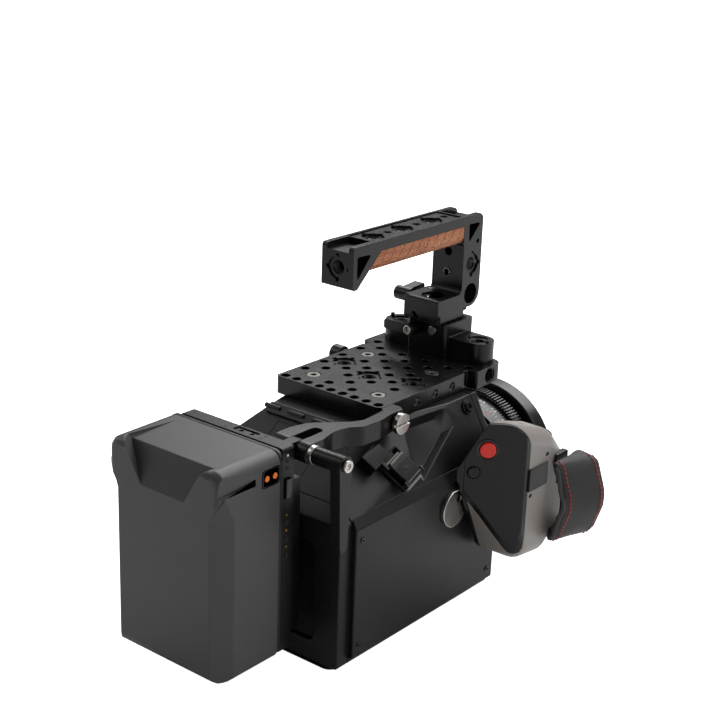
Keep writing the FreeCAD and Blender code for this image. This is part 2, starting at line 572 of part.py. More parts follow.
def handle():
    half = sheet.handle_half
    rear, front, top = sheet.handle_rear, sheet.handle_front, TOP + sheet.handle_top
    under, post = TOP + sheet.grip_underside, sheet.post_rear
    side = [(rear, top, 2.5), (rear, TOP + 70.4, 1.5), (7.5, TOP + 70.4, 1.5), (17, under), (post, under, 2),
            (post, TOP + sheet.base_top, 4), (sheet.base_rear, TOP + sheet.base_top, 1.5),
            (sheet.base_rear, TOP + sheet.base_bottom), (front, TOP + sheet.base_bottom, 10.8), (front, top, 5)]
    frame = Piece("handle_frame").pad("YZ", outline(side), "-Sizes.handle_half", "2 * Sizes.handle_half")

    wood_top = TOP + sheet.wood_top
    wood = [(17, under), (32, wood_top), (126.6, wood_top), (126.6, under)]
    frame.pocket("YZ", outline(wood), 8, half)
    frame.pocket("YZ", outline(wood), -8 - half, half)
    core = [(16, under - 1), (20, TOP + 84), (126.6, TOP + 84), (126.6, under - 1)]
    frame.pocket("YZ", outline(core), -9, 18)

    frame.pocket("XY", rectangle((-11, 26), (11, 126)), top - 0.9, 2)
    frame.pocket("XY", rectangle((-9.3, rear - 1), (9.3, 25), 1.5), top - 4, 5)
    frame.pocket("XY", rectangle((-9.3, 127.5), (9.3, front + 2), 1.5), top - 4, 5)
    for y in HANDLE_LOCATING:
        frame.pocket("XY", circle(0, y, THREE_EIGHTHS), top - 13, 14)
        frame.pocket("XY", circle(0, y, sheet.locating_radius), top - 2.6, 3)
        frame.pocket("XY", locating_notches(0, y, 8.2, 1.7), top - 2.6, 3)
    threads = []
    for y in HANDLE_THREADS:
        threads += circle(0, y, QUARTER_INCH)
    frame.pocket("XY", threads, top - 11, 12)

    frame.pocket("XZ", circle(0, TOP + 84, THREE_EIGHTHS), rear, 12)
    frame.pocket("XZ", circle(0, TOP + 84, sheet.locating_radius), rear, 1.2)
    frame.pocket("XZ", locating_notches(0, TOP + 84, 8.2, 1.5), rear, 1.8)
    rear_window = [(6.8, TOP + 92.6, 1), (21.4, TOP + 92, 1), (7, TOP + 76.2, 1)]
    front_window = [(132.6, TOP + 93.3, 1), (146.4, TOP + 92.6, 1), (133, TOP + 79.5, 1)]
    for start in (-half - 1, half - 6):
        frame.pocket("YZ", outline(rear_window), start, 7)
        frame.pocket("YZ", outline(front_window), start, 7)
    frame.pocket("YZ", circle(138.2, TOP + 63.1, THREE_EIGHTHS), -half, 2 * half)
    for start in (-half - 1, half - 1.4):
        frame.pocket("YZ", circle(138.2, TOP + 63.1, sheet.locating_radius), start, 2.4)
        frame.pocket("YZ", locating_notches(138.2, TOP + 63.1, 8.2, 1.5), start, 2.4)
    frame.pocket("YZ", circle(144, TOP + 79.2, 1.7), half - 6, 7)
    frame.pocket("YZ", circle(sheet.rod_y, TOP + sheet.rod_height, sheet.rod_radius), -half, 2 * half)
    frame.pocket("XZ", circle(0, TOP + 72, 3.2), post, 12)
    frame.pocket("XZ", circle(0, TOP + 57, 1.6), post, 8)
    frame.pocket("XY", circle(0, 112, 8.8), TOP + sheet.base_top - 6, 8)
    frame.pad("XZ", outline([(half, TOP + 32), (half, TOP + 24.8), (9.4, TOP + 24.8), (9.4, TOP + 26.9),
                             (10.8, TOP + 27.97), (10.8, TOP + 32)]), 103, 28)
    clamp_bore = circle(sheet.clamp_y, TOP + sheet.clamp_height, sheet.clamp_screw_radius + 0.01)
    frame.pocket("YZ", clamp_bore, -half - 1, 10)
    keep(frame)

    wood_half = half - 0.2
    grip = Piece("wood_grip")
    lower, upper = under + 0.1, wood_top - 0.1
    wood = [(17.3, lower), (32.2, upper), (126.5, upper), (126.5, lower)]
    grip.pad("YZ", outline(wood), -wood_half, 2 * wood_half)
    grip.pocket("XZ", rectangle((-8.05, TOP + 83.95), (8.05, TOP + 100)), 0, 140)
    for side_sign in (1, -1):
        outer, inner = side_sign * wood_half, side_sign * (wood_half - 4)
        corner = [(outer + side_sign, lower - 1), (outer + side_sign, lower + 5), (outer, lower + 5),
                  (inner, lower), (inner, lower - 1)]
        grip.pocket("XZ", outline(corner), 0, 140)
    keep(grip)

    jaw = Piece("clamp_jaw")
    profile = [(-13.8, TOP + 41.9, 0.8), (-13.8, TOP + 31), (-11.6, TOP + 31), (-11.6, TOP + 28.3),
               (-9.9, TOP + 26.8), (-9.9, TOP + 24.8), (-19.5, TOP + 24.8, 1), (-19.5, TOP + 41.9, 2)]
    jaw.pad("XZ", outline(profile), 103, 28)
    jaw.pocket("YZ", circle(sheet.clamp_y, TOP + sheet.clamp_height, sheet.clamp_screw_radius + 0.05), -25, 20)
    keep(jaw)
    screw_end = -36
    clamp_screw = cylinder("clamp_screw", (screw_end, sheet.clamp_y, TOP + sheet.clamp_height), X_AXIS,
                           "Sizes.clamp_screw_radius", -screw_end - half + 8)
    lever = Piece("clamp_lever")
    lever.pad("YZ", circle(sheet.clamp_y, TOP + sheet.clamp_height, 5.2), -34.5, 13.1)
    wing = [(sheet.clamp_y, TOP + 42.2), (131, TOP + 43.4, 2), (131, TOP + 37.4, 2), (sheet.clamp_y, TOP + 33.4)]
    lever.pad("YZ", outline(wing), -30, 8)
    lever.pocket("YZ", circle(sheet.clamp_y, TOP + sheet.clamp_height, sheet.clamp_screw_radius + 0.05), -40, 20)
    keep(lever)
    post_screw = socket_screw("post_screw", (0, post - 1.2, TOP + 57), Y_AXIS, 2.6, 1.2, 1.55, 6)
    keep(group("handle_screws", [clamp_screw, post_screw]))


# ---- battery arm ----------------------------------------------------------------------------------

HINGE_Y = sheet.hinge_y
HINGE_Z = TOP - sheet.hinge_drop


def battery_arm():
    plan = [(46, 8, 1), (57.5, 8, 5), (56.6, -6, 10), (58.9, -20, 20), (58, -37, 8), (51, -46, 14), (50, -57, 14),
            (53.3, -70, 10), (53.3, -90), (24.6, -90), (24.6, -68, 6), (28, -55.5, 10), (47, -34.5, 9),
            (50.3, -27, 8), (48.6, -5, 4), (46, -4, 1)]
    plate = Piece("arm_plan").pad("XY", outline(plan), TOP - sheet.arm_thick, "Sizes.arm_thick")
    left, right = sheet.fork_left, sheet.fork_right
    slot = [(left, -92), (right, -92), (right, -58, 3.99), (left, -58, 3.99)]
    plate.pocket("XY", outline(slot), TOP - sheet.arm_thick - 1, sheet.arm_thick + 2)
    side = Piece("arm_side")
    tail = HINGE_Y - sheet.hinge_drop
    low = TOP - sheet.arm_thick
    side.pad("YZ", outline([(tail, TOP, 6.7), (tail, low, 6.7), (10, low), (10, TOP)]), 20, 45)
    side.pocket("YZ", circle(HINGE_Y, HINGE_Z, sheet.hinge_radius + 0.01), 20, 45)
    side.pocket("YZ", circle(0, TOP - sheet.thumb_drop, 2.6), 20, 45)
    keep(common("battery_arm", plate, side))

    shaft = cylinder("shaft_solid", (25, HINGE_Y, HINGE_Z), X_AXIS, "Sizes.hinge_radius", 56)
    collar = cylinder("shaft_collar", (53.3, HINGE_Y, HINGE_Z), X_AXIS, 6.1, 3.4)
    head = cylinder("shaft_head", (80.3, HINGE_Y, HINGE_Z), X_AXIS, 4, 2.2)
    drive = hexagon("shaft_drive", (81.2, HINGE_Y, HINGE_Z), X_AXIS, 2, 2)
    keep(cut("hinge_shaft", fuse("shaft_body", shaft, collar, head), drive))

    lever = Piece("arm_lever")
    lever.pad("YZ", circle(HINGE_Y, HINGE_Z, 5.8), 57, 23)
    foot = HINGE_Z - sheet.lever_length
    arm = [(HINGE_Y - 6.2, HINGE_Z + 6, 6), (HINGE_Y + 6.2, HINGE_Z + 6, 6), (HINGE_Y + 5.2, HINGE_Z - 14, 30),
           (HINGE_Y + 3.4, foot, 3.3), (HINGE_Y - 3.4, foot, 3.3), (HINGE_Y - 5.2, HINGE_Z - 14, 30)]
    lever.pad("YZ", outline(arm), 72.4, 7.6)
    lever.pocket("YZ", circle(HINGE_Y, HINGE_Z, sheet.hinge_radius + 0.05), 50, 40)
    keep(lever)

    head = cylinder("thumb_head", (57.8, 0, TOP - sheet.thumb_drop), X_AXIS, 7.2, 4)
    shank = cylinder("thumb_shank", (44, 0, TOP - sheet.thumb_drop), X_AXIS, 2.5, 15)
    slot_cut = box("thumb_slot", (60.2, -8, TOP - sheet.thumb_drop - 0.7), (3, 16, 1.4))
    keep(cut("arm_thumbscrew", fuse("thumb_body", head, shank), slot_cut))

    knob = cylinder("knob_grip", (-59, 74, TOP - 6), X_AXIS, 6.6, 9)
    collar = cylinder("knob_collar", (-50, 74, TOP - 6), X_AXIS, 4.4, 3.7)
    stud = cylinder("knob_stud", (-50, 74, TOP - 6), X_AXIS, 2.5, 14)
    keep(fuse("side_knob", knob, collar, stud))


# ---- battery plate and battery --------------------------------------------------------------------

def battery_plate():
    low = TOP - sheet.mount_height
    left, right = sheet.mount_left, 46
    front, rear = sheet.mount_front, sheet.mount_rear
    plate = Piece("battery_plate")
    plate.pad("XZ", rectangle((left, low), (right, TOP), 3), rear, front - rear)
    for x in (-33, -8, 17, 38):
        plate.pad("XZ", rectangle((x - 4, low + 10), (x + 4, TOP - 26)), front - 1, 12)
    wedge_seat = [(-30, TOP - 12), (30, TOP - 12), (30, TOP - 27), (18.2, TOP - 96), (-18.2, TOP - 96),
                  (-30, TOP - 27)]
    plate.pocket("XZ", outline(wedge_seat), rear, 5.7)
    lug = [(front - 2, HINGE_Z + 6.6), (HINGE_Y + 6.6, HINGE_Z + 6.6, 6.5), (HINGE_Y + 6.6, HINGE_Z - 6.6, 6.5),
           (front - 2, HINGE_Z - 6.6)]
    plate.pad("YZ", outline(lug), sheet.fork_left + 0.3, sheet.fork_right - sheet.fork_left - 0.6)
    plate.pocket("YZ", circle(HINGE_Y, HINGE_Z, sheet.hinge_radius + 0.05), sheet.fork_left - 1, 12)
    plate.pocket("XY", rectangle((1, -96), (20, -90), 1), TOP - 6, 8)
    plate.pocket("YZ", rectangle((-97, TOP - 34), (-91.5, TOP - 20), 1), 37, 12)
    keep(plate)

    socket = Piece("power_socket").pad("XY", rectangle((1.05, -95.95), (19.95, -90.05), 1), TOP - 6, 5.2)
    holes = circle(6, -93, 1.5) + circle(15, -93, 1.5)
    socket.pocket("XY", holes, TOP - 5, 6)
    keep(socket)
    keep(group("power_pins", [cylinder(f"power_pin{x}", (x, -93, TOP - 5), Z_AXIS, 1.1, 3.4) for x in (6, 15)]))
    keep(box("battery_release", (40.5, -96.7, TOP - 33.7), (7.3, 4.9, 13.4)))


def battery():
    low, high = TOP - sheet.battery_height, TOP
    half, wall = sheet.battery_half, sheet.battery_wall
    case_front = sheet.battery_front - wall
    shell = Piece("battery_shell")
    walls = rectangle((-half, low), (half, high), 7)
    walls += rectangle((-half + wall, low + wall), (half - wall, high - wall), 0.8)
    shell.pad("XZ", walls, sheet.battery_case, case_front - sheet.battery_case)
    shell.pocket("YZ", rectangle((-118.6, high - 18.9), (-104.2, high - 8.4), 1.5), half - 6, 7)
    keep(shell)

    base = Piece("battery_base").pad("XZ", rectangle((-half, low), (half, high), 7), case_front, wall)
    wedge = [(-29.4, TOP - 28), (29.4, TOP - 28), (17.5, TOP - 94.6), (-17.5, TOP - 94.6)]
    base.pad("XZ", outline(wedge), sheet.battery_front - 0.5, 6)
    keep(base)

    cover = Piece("battery_cover")
    straight = 6
    cover.pad("XZ", rectangle((-half, low), (half, high), 7), sheet.battery_case - straight, straight)
    big = cover.sketch("XZ", rectangle((-half, low), (half, high), 7), sheet.battery_case - straight, None)
    small = cover.sketch("XZ", rectangle((-42.5, low + 7), (42.5, high - 5), 7), sheet.battery_rear, None)
    loft = cover.body.newObject("PartDesign::AdditiveLoft", "battery_cover_loft")
    loft.Profile = big
    loft.Sections = [small]
    loft.Ruled = True
    keep(cover)

    cells = []
    for x in (-36, -18, 0, 18, 36):
        for y in (-112.3, -130.5):
            for layer in range(2):
                bottom = low + wall + 1 + layer * (sheet.cell_length + 1)
                cells.append(cylinder(f"cell{len(cells)}", (x, y, bottom), Z_AXIS,
                                      "Sizes.cell_radius", "Sizes.cell_length"))
    keep(group("battery_cells", cells))

    socket = Piece("battery_socket")
    socket.pad("YZ", rectangle((-118.5, high - 18.8), (-104.3, high - 8.5), 1.5), half - 2.9, 2.4)
    keep(socket)
    pins = [cylinder(f"tap_pin{number}", (half - 0.5, y, high - 13.8), X_AXIS, 1.9, 1.1)
            for number, y in enumerate((-115, -108))]
    keep(group("battery_contacts", pins))


# ---- side grip ------------------------------------------------------------------------------------

PANEL_SLOPE = 0.8


def grip_prism(name, start, end):
    """The grip's side outline, filled from one x to another."""
    side = [(36, -12, 4), (60, -13, 12), (104, -28, 20), (129, -56, 14), (124, -100, 16), (98, -118, 14),
            (66, -114, 14), (50, -80, 12), (36, -52, 8)]
    prism = Piece(name).pad("YZ", outline([(y, TOP + z, r) for y, z, r in side]), start, end - start)
    shoulder = [(74, -60), (74, -8), (98, -8), (96.8, -8.1), (80.3, -46)]
    return prism.pocket("XZ", outline([(x, TOP + z) for x, z in shoulder]), 20, 130)


def grip():
    inner, shell_start, outer = sheet.grip_inner, sheet.grip_shell_inner, sheet.grip_outer
    base = grip_prism("grip_base", inner, shell_start)
    base.pad("YZ", circle(sheet.rosette_y, TOP - sheet.rosette_drop, sheet.rosette_radius), 78.3, 3)

    def face(x, offset):
        return 42 + (x - inner) * PANEL_SLOPE + offset

    low, high = 20, TOP
    behind = [(inner - 1, face(inner - 1, -5)), (shell_start + 1, face(shell_start + 1, -5)),
              (shell_start + 1, 20), (inner - 1, 20)]
    base.pocket("XY", outline(behind), low, high - low)
    keep(base)
    body = grip_prism("grip_solid", shell_start, outer)
    near, far = shell_start - 1, outer + 2
    corner = [(near, face(near, 0)), (far, face(far, 0)), (far, 20), (near, 20)]
    body.pocket("XY", outline(corner), low, high - low)
    for z in (TOP - 51.5, TOP - 107):
        body.pad("YZ", rectangle((102, z), (116, z + 7)), outer - 1, 3)
    keep(body, "grip_shell")

    slab = Piece("grip_slab")
    strip = [(shell_start, face(shell_start, 0)), (outer - 2, face(outer - 2, 0)), (outer - 2, face(outer - 2, -5)),
             (shell_start, face(shell_start, -5))]
    slab.pad("XY", outline(strip), low, high - low)
    outward = Vector(PANEL_SLOPE, -1, 0).normalize()
    record_x, record_z = 95.7, TOP - 30.9
    second_x, second_z = 89, TOP - 47.5
    record_seat = Vector(record_x, face(record_x, -5), record_z)
    second_seat = Vector(second_x, face(second_x, -5), second_z)
    panel = common("grip_panel_solid", slab, grip_prism("grip_trim", shell_start, outer))
    record_bore = cylinder("record_bore", record_seat - outward * 3, outward, 5.7, 6)
    second_bore = cylinder("second_bore", second_seat - outward * 3, outward, 4.2, 6)
    keep(cut("grip_panel", panel, record_bore, second_bore))
    keep(cylinder("record_button", record_seat - outward * 1.4, outward, "Sizes.record_radius", 3.2))
    keep(cylinder("second_button", second_seat - outward * 1.4, outward, 4, 2.4))
    print("button axis", [round(c, 4) for c in outward])

    strap = Piece("strap_pad")
    rings = []
    for y, crown in ((sheet.strap_rear, 134), (sheet.strap_rear + sheet.strap_width, 148)):
        ring = [(118, -44, 3), (crown - 10, -47, 8), (crown, -76, 24), (crown - 10, -105, 8), (118, -108, 3),
                (118, -100), (crown - 15, -97, 5), (crown - 7.5, -76, 18), (crown - 15, -55, 5), (118, -52)]
        shape = outline([(x, TOP + z) + tuple(r) for x, z, *r in ring])
        rings.append(strap.sketch("XZ", shape, y, None))
    loft = strap.body.newObject("PartDesign::AdditiveLoft", "strap_loft")
    loft.Profile = rings[0]
    loft.Sections = rings[1:]
    loft.Ruled = True
    keep(strap)
    keep(box("strap_webbing", (outer, 70, TOP - 62), (1.6, 22, 16)))


camera_body()
camera_inside()
camera_fittings()
lens()
top_plate()
riser()
handle()
battery_arm()
battery_plate()
battery()
grip()
doc.recompute()

for item in doc.Objects:
    if "Invalid" in item.State or "Error" in item.State:
        raise RuntimeError(f"{item.Name} failed: {item.State}")
os.makedirs("parts", exist_ok=True)
for node in nodes:
    if node.Shape.isNull() or not node.Shape.isValid():
        raise RuntimeError(f"{node.Label} has no valid shape")
    node.Shape.exportStep(f"parts/{node.Label}.step")
    print(f"{node.Label}: {len(node.Shape.Solids)} solid(s), {node.Shape.Volume / 1000:.2f} cm3")
print(len(nodes), "nodes")
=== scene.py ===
# %% [markdown]
# # A cinema camera rig
# The rig is a boxy camera with a drilled top plate, a riser, a wooden-inlaid top handle, a battery on a
# swinging plate, a lens and a side grip with a padded hand strap. The CAD gives every size; here each part
# gets its broken edges, its small details and its real finish.

# %% Load the frame and measure it
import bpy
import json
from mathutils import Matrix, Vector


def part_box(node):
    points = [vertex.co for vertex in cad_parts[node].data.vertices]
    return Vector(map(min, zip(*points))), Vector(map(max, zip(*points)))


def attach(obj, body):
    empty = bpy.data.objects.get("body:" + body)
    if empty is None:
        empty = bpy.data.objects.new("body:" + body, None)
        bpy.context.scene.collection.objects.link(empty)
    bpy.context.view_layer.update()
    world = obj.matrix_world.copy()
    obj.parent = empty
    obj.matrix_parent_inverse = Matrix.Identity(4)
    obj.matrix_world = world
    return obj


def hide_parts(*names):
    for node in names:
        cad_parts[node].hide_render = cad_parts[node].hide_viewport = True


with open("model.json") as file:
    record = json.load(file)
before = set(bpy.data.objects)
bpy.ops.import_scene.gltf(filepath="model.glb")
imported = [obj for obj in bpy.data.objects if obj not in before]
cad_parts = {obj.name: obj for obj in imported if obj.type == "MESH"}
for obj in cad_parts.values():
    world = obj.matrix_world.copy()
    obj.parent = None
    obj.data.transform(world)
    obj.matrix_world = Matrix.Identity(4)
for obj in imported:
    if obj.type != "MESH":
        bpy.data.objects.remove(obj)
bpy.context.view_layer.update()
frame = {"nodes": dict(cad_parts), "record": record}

import json
import math

import bmesh
import bpy
from mathutils import Matrix, Vector
from mathutils.bvhtree import BVHTree

MM = 0.001
RIGHT, FORWARD, UP = (1, 0, 0), (0, 1, 0), (0, 0, 1)
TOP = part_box("top_plate")[1][2] / MM
LENS_Z = (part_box("front_ring")[0][2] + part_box("front_ring")[1][2]) / 2 / MM
print("plate top at", round(TOP, 2), "mm, lens axis at", round(LENS_Z, 2), "mm")

# %% [markdown]
# Every finish is a small node tree. One function turns a paint chart's hex code into the linear colour that
# the shader wants, and one adds a node with its settings and links, so each finish below reads like a recipe.

# %% Colours and nodes
def linear(code, alpha=1.0):
    """A hex colour as linear RGBA."""
    parts = [int(code[i:i + 2], 16) / 255 for i in (1, 3, 5)]
    return tuple(v / 12.92 if v <= 0.04045 else ((v + 0.055) / 1.055) ** 2.4 for v in parts) + (alpha,)


def add(tree, kind, inputs=None, **settings):
    """Add a node; each input takes a value, or another node's output to link from."""
    node = tree.nodes.new(kind)
    for name, value in settings.items():
        setattr(node, name, value)
    for name, value in (inputs or {}).items():
        if isinstance(value, bpy.types.NodeSocket):
            tree.links.new(value, node.inputs[name])
        else:
            node.inputs[name].default_value = value
    return node


def blank_finish(name, **shader):
    """A new material with one Principled shader; constants sit on the shader's own sockets."""
    look = bpy.data.materials.new(name)
    look.use_nodes = True
    tree = look.node_tree
    tree.nodes.clear()
    sockets = {key.replace("_", " "): value for key, value in shader.items()}
    surface = add(tree, "ShaderNodeBsdfPrincipled", sockets)
    add(tree, "ShaderNodeOutputMaterial", {"Surface": surface.outputs[0]})
    return look, tree, surface


def blend(tree, share, dark, light):
    """Mix two colours, each a hex code or another node's output."""
    dark, light = (linear(tone) if isinstance(tone, str) else tone for tone in (dark, light))
    return add(tree, "ShaderNodeMix", {0: share, 6: dark, 7: light}, data_type="RGBA")


def wired(tree, surface, colour, shine, relief):
    """Link a finish's colour, roughness and bump to its shader."""
    for name, socket in (("Base Color", colour.outputs[2]), ("Roughness", shine.outputs[0]),
                         ("Normal", relief.outputs[0])):
        tree.links.new(socket, surface.inputs[name])

# %% [markdown]
# Most parts here are moulded, blasted or coated, and these finishes differ in the same few ways: how coarse
# the skin is, how deep it is, how evenly it shines, and how the colour drifts. So one recipe makes them all,
# with each skin's real grain given in millimetres.

# %% A fine-grained skin
def skin(name, dark, light, rough, swing, grain, depth, drift=30.0, **shader):
    """A coating or moulded skin: grain in mm, its depth in mm, roughness and how far it swings."""
    look, tree, surface = blank_finish(name, **shader)
    place = add(tree, "ShaderNodeTexCoord").outputs["Object"]
    patches = add(tree, "ShaderNodeTexNoise", {"Vector": place, "Scale": 1 / (drift * MM), "Detail": 3.0})
    fine = add(tree, "ShaderNodeTexNoise", {"Vector": place, "Scale": 1 / (grain * MM), "Detail": 4.0,
                                            "Roughness": 0.6})
    both = add(tree, "ShaderNodeMix", {0: 0.5, 2: patches.outputs[0], 3: fine.outputs[0]})
    colour = blend(tree, both.outputs[0], dark, light)
    shine = add(tree, "ShaderNodeMapRange", {"Value": both.outputs[0], "From Min": 0.3, "From Max": 0.7,
                                             "To Min": rough - swing, "To Max": rough + swing})
    bump = add(tree, "ShaderNodeBump", {"Height": fine.outputs[0], "Distance": depth * MM, "Strength": 1.0})
    wired(tree, surface, colour, shine, bump)
    return look


# bead-blasted aluminium under a black anodic layer: satin, with a faint warm cast
anodised = skin("black_anodised_aluminium", "#090808", "#131111", 0.27, 0.05, 0.35, 0.004, IOR=1.45,
                Specular_IOR_Level=0.42)
# the same layer on turned lens rings, a little glossier
ring_black = skin("black_anodised_turned_ring", "#080808", "#121111", 0.28, 0.05, 0.5, 0.003)
# two-part textured paint on a magnesium casting: a fine pebble that breaks up the shine
casing_paint = skin("textured_black_enamel", "#0b0b0b", "#191818", 0.40, 0.07, 0.55, 0.04,
                    Specular_IOR_Level=0.35)
# injection-moulded polycarbonate and ABS with a spark-eroded skin
black_plastic = skin("moulded_black_polycarbonate", "#080808", "#131212", 0.34, 0.06, 0.3, 0.01,
                     Specular_IOR_Level=0.35)
charcoal_plastic = skin("moulded_charcoal_abs", "#3a3838", "#484545", 0.44, 0.05, 0.28, 0.014)
# dark grip plastic coloured a warm light grey where the sheen falls on it: painted sheen
sheen_grey = skin("light_grey_painted_sheen", "#837d79", "#938d88", 0.36, 0.05, 0.35, 0.01)
# gloss black acetal: slides, latches and buttons that fingers polish
gloss_black = skin("polished_black_acetal", "#080808", "#101010", 0.16, 0.04, 0.8, 0.003)
# near-black and nearly matt: painted shade for the pin holes, the door seam, the grip openings and the cooling
# slots, which are only dark plugs and strips
deep_shadow = skin("painted_shadow_black", "#040404", "#080808", 0.75, 0.1, 0.5, 0.02)
# silicone rubber keys
red_rubber = skin("red_silicone_button", "#e0261c", "#f8382b", 0.42, 0.05, 0.3, 0.02)
dark_rubber = skin("black_silicone_rubber", "#0d0d0d", "#181818", 0.6, 0.08, 0.4, 0.02)
# ground stainless steel and its blasted form
steel = skin("ground_stainless_steel", "#b9b6b1", "#d6d3ce", 0.24, 0.08, 0.25, 0.004, Metallic=1.0)
dull_steel = skin("blasted_steel", "#6c6a67", "#8b8884", 0.36, 0.08, 0.3, 0.008, Metallic=1.0)
gold = skin("gold_plated_contact", "#c8902c", "#e8b450", 0.22, 0.05, 0.3, 0.002, Metallic=1.0)
orange_brass = skin("orange_insulated_contact", "#e2611a", "#ff8a2e", 0.35, 0.06, 0.4, 0.01)
copper_board = skin("green_solder_mask", "#0d3a1c", "#15522a", 0.3, 0.06, 1.5, 0.02)
cell_sleeve = skin("blue_shrink_sleeve", "#1c4c72", "#28618c", 0.3, 0.05, 1.0, 0.01)
red_paint = skin("red_engraving_enamel", "#c4261f", "#de3327", 0.45, 0.05, 0.3, 0.005)
white_paint = skin("white_engraving_enamel", "#d9d7d2", "#efede8", 0.45, 0.05, 0.3, 0.005)

glass, tree, surface = blank_finish("coated_optical_glass", Base_Color=linear("#0b1420"), Roughness=0.04,
                                    IOR=1.52, Coat_Weight=0.8, Coat_Roughness=0.03)
place = add(tree, "ShaderNodeTexCoord").outputs["Object"]
haze = add(tree, "ShaderNodeTexNoise", {"Vector": place, "Scale": 60.0})
tint = blend(tree, haze.outputs[0], "#0a1120", "#241433")
tree.links.new(tint.outputs[2], surface.inputs["Base Color"])
print(len(bpy.data.materials), "finishes so far")

# %% [markdown]
# The handle's inlay is an oiled reddish hardwood such as sapele. Its grain runs along the handle, so the
# noise is stretched along Y; short dark pores, a fraction of a millimetre wide, lie over it.

# %% Oiled sapele
sapele, tree, surface = blank_finish("oiled_sapele", Specular_IOR_Level=0.4)
place = add(tree, "ShaderNodeTexCoord").outputs["Object"]
along = add(tree, "ShaderNodeMapping", {"Vector": place, "Scale": (1.0, 0.12, 1.0)})
rings = add(tree, "ShaderNodeTexNoise", {"Vector": along.outputs[0], "Scale": 260.0, "Detail": 5.0,
                                         "Distortion": 0.6})
pores_at = add(tree, "ShaderNodeMapping", {"Vector": place, "Scale": (1.0, 0.3, 1.0)})
pores = add(tree, "ShaderNodeTexNoise", {"Vector": pores_at.outputs[0], "Scale": 1500.0, "Detail": 2.0})
grain = add(tree, "ShaderNodeValToRGB", {0: rings.outputs[0]})
for stop, code in zip((0.25, 0.5), ("#9a5530", "#b8734a")):
    band = grain.color_ramp.elements[0] if stop == 0.25 else grain.color_ramp.elements[1]
    band.position, band.color = stop, linear(code)
last = grain.color_ramp.elements.new(0.75)
last.color = linear("#cb8a5e")
specks = add(tree, "ShaderNodeMapRange", {"Value": pores.outputs[0], "From Min": 0.36, "From Max": 0.5})
oiled = blend(tree, specks.outputs[0], "#6e3519", grain.outputs[0])
shine = add(tree, "ShaderNodeMapRange", {"Value": rings.outputs[0], "To Min": 0.4, "To Max": 0.58})
relief = add(tree, "ShaderNodeBump", {"Height": specks.outputs[0], "Distance": 0.00006})
wired(tree, surface, oiled, shine, relief)

# %% [markdown]
# Full-grain leather has cells about a millimetre across with creases between them. A Voronoi pattern gives
# the cells, and a soft noise makes some of the leather duller where the hand rubs it.

# %% Leather and webbing
leather, tree, surface = blank_finish("black_full_grain_leather", Specular_IOR_Level=0.5)
place = add(tree, "ShaderNodeTexCoord").outputs["Object"]
cells = add(tree, "ShaderNodeTexVoronoi", {"Vector": place, "Scale": 1 / (0.9 * MM)},
            feature="DISTANCE_TO_EDGE")
crease = add(tree, "ShaderNodeMapRange", {"Value": cells.outputs["Distance"], "From Max": 0.22})
rub = add(tree, "ShaderNodeTexNoise", {"Vector": place, "Scale": 55.0, "Detail": 3.0})
colour = blend(tree, rub.outputs[0], "#0e0d0d", "#231f1f")
shine = add(tree, "ShaderNodeMapRange", {"Value": rub.outputs[0], "To Min": 0.34, "To Max": 0.62})
relief = add(tree, "ShaderNodeBump", {"Height": crease.outputs[0], "Distance": 0.00008})
wired(tree, surface, colour, shine, relief)

suede = skin("grey_suede_edging", "#3c3a3b", "#565354", 0.8, 0.08, 0.4, 0.08)
red_thread = skin("red_waxed_thread", "#b01f2a", "#d4303a", 0.5, 0.06, 0.3, 0.03)

webbing, tree, surface = blank_finish("black_nylon_webbing", Specular_IOR_Level=0.35, Sheen_Weight=0.2)
place = add(tree, "ShaderNodeTexCoord").outputs["Object"]
ribs = add(tree, "ShaderNodeTexWave", {"Vector": place, "Scale": 1 / (1.3 * MM) / 6.28 * 3.2, "Distortion": 0.4,
                                       "Detail": 1.0}, bands_direction="Y")
picks = add(tree, "ShaderNodeTexWave", {"Vector": place, "Scale": 1 / (0.9 * MM) / 6.28 * 3.2},
            bands_direction="Z")
weave = add(tree, "ShaderNodeMix", {0: 0.35, 2: ribs.outputs[1], 3: picks.outputs[1]})
colour = blend(tree, weave.outputs[0], "#0b0b0b", "#2b2a2a")
shine = add(tree, "ShaderNodeMapRange", {"Value": weave.outputs[0], "To Min": 0.75, "To Max": 0.55})
relief = add(tree, "ShaderNodeBump", {"Height": weave.outputs[0], "Distance": 0.0002})
wired(tree, surface, colour, shine, relief)
print(len(bpy.data.materials), "finishes")

# %% [markdown]
# Pieces are made as plain meshes in millimetre numbers scaled to metres, with their place in the mesh. These
# helpers finish a mesh as an object that rides on its body, and settle modifiers into plain geometry.

# %% Finishing pieces
BODY = {node: body for body, names in frame["record"]["behaviour"]["bodies"].items() for node in names}


def settled(thing):
    """The mesh that an object's modifiers give, as plain geometry."""
    graph = bpy.context.evaluated_depsgraph_get()
    graph.update()
    mesh = bpy.data.meshes.new_from_object(thing.evaluated_get(graph), depsgraph=graph)
    bpy.data.objects.remove(thing)
    return mesh


def shown(name, mesh):
    thing = bpy.data.objects.new(name, mesh)
    bpy.context.scene.collection.objects.link(thing)
    return thing


def finished(name, mesh, look, near, stands_for=(), sharp=35):
    """A finished piece, smooth between its sharp edges, that rides with a CAD part and hides the parts it stands
    for.
    """
    mesh.materials.clear()
    for one in (look if isinstance(look, (list, tuple)) else [look]):
        mesh.materials.append(one)
    mesh.shade_smooth()
    mesh.set_sharp_from_angle(angle=math.radians(sharp))
    thing = shown(name, mesh)
    if sharp < 180:
        # large flat faces keep their own normal, so only the broken edges shade round
        flat = thing.modifiers.new("flat", "WEIGHTED_NORMAL")
        flat.weight, flat.keep_sharp = 80, True
        thing = shown(name, settled(thing))
    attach(thing, BODY[near])
    if stands_for:
        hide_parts(*stands_for)
    return thing


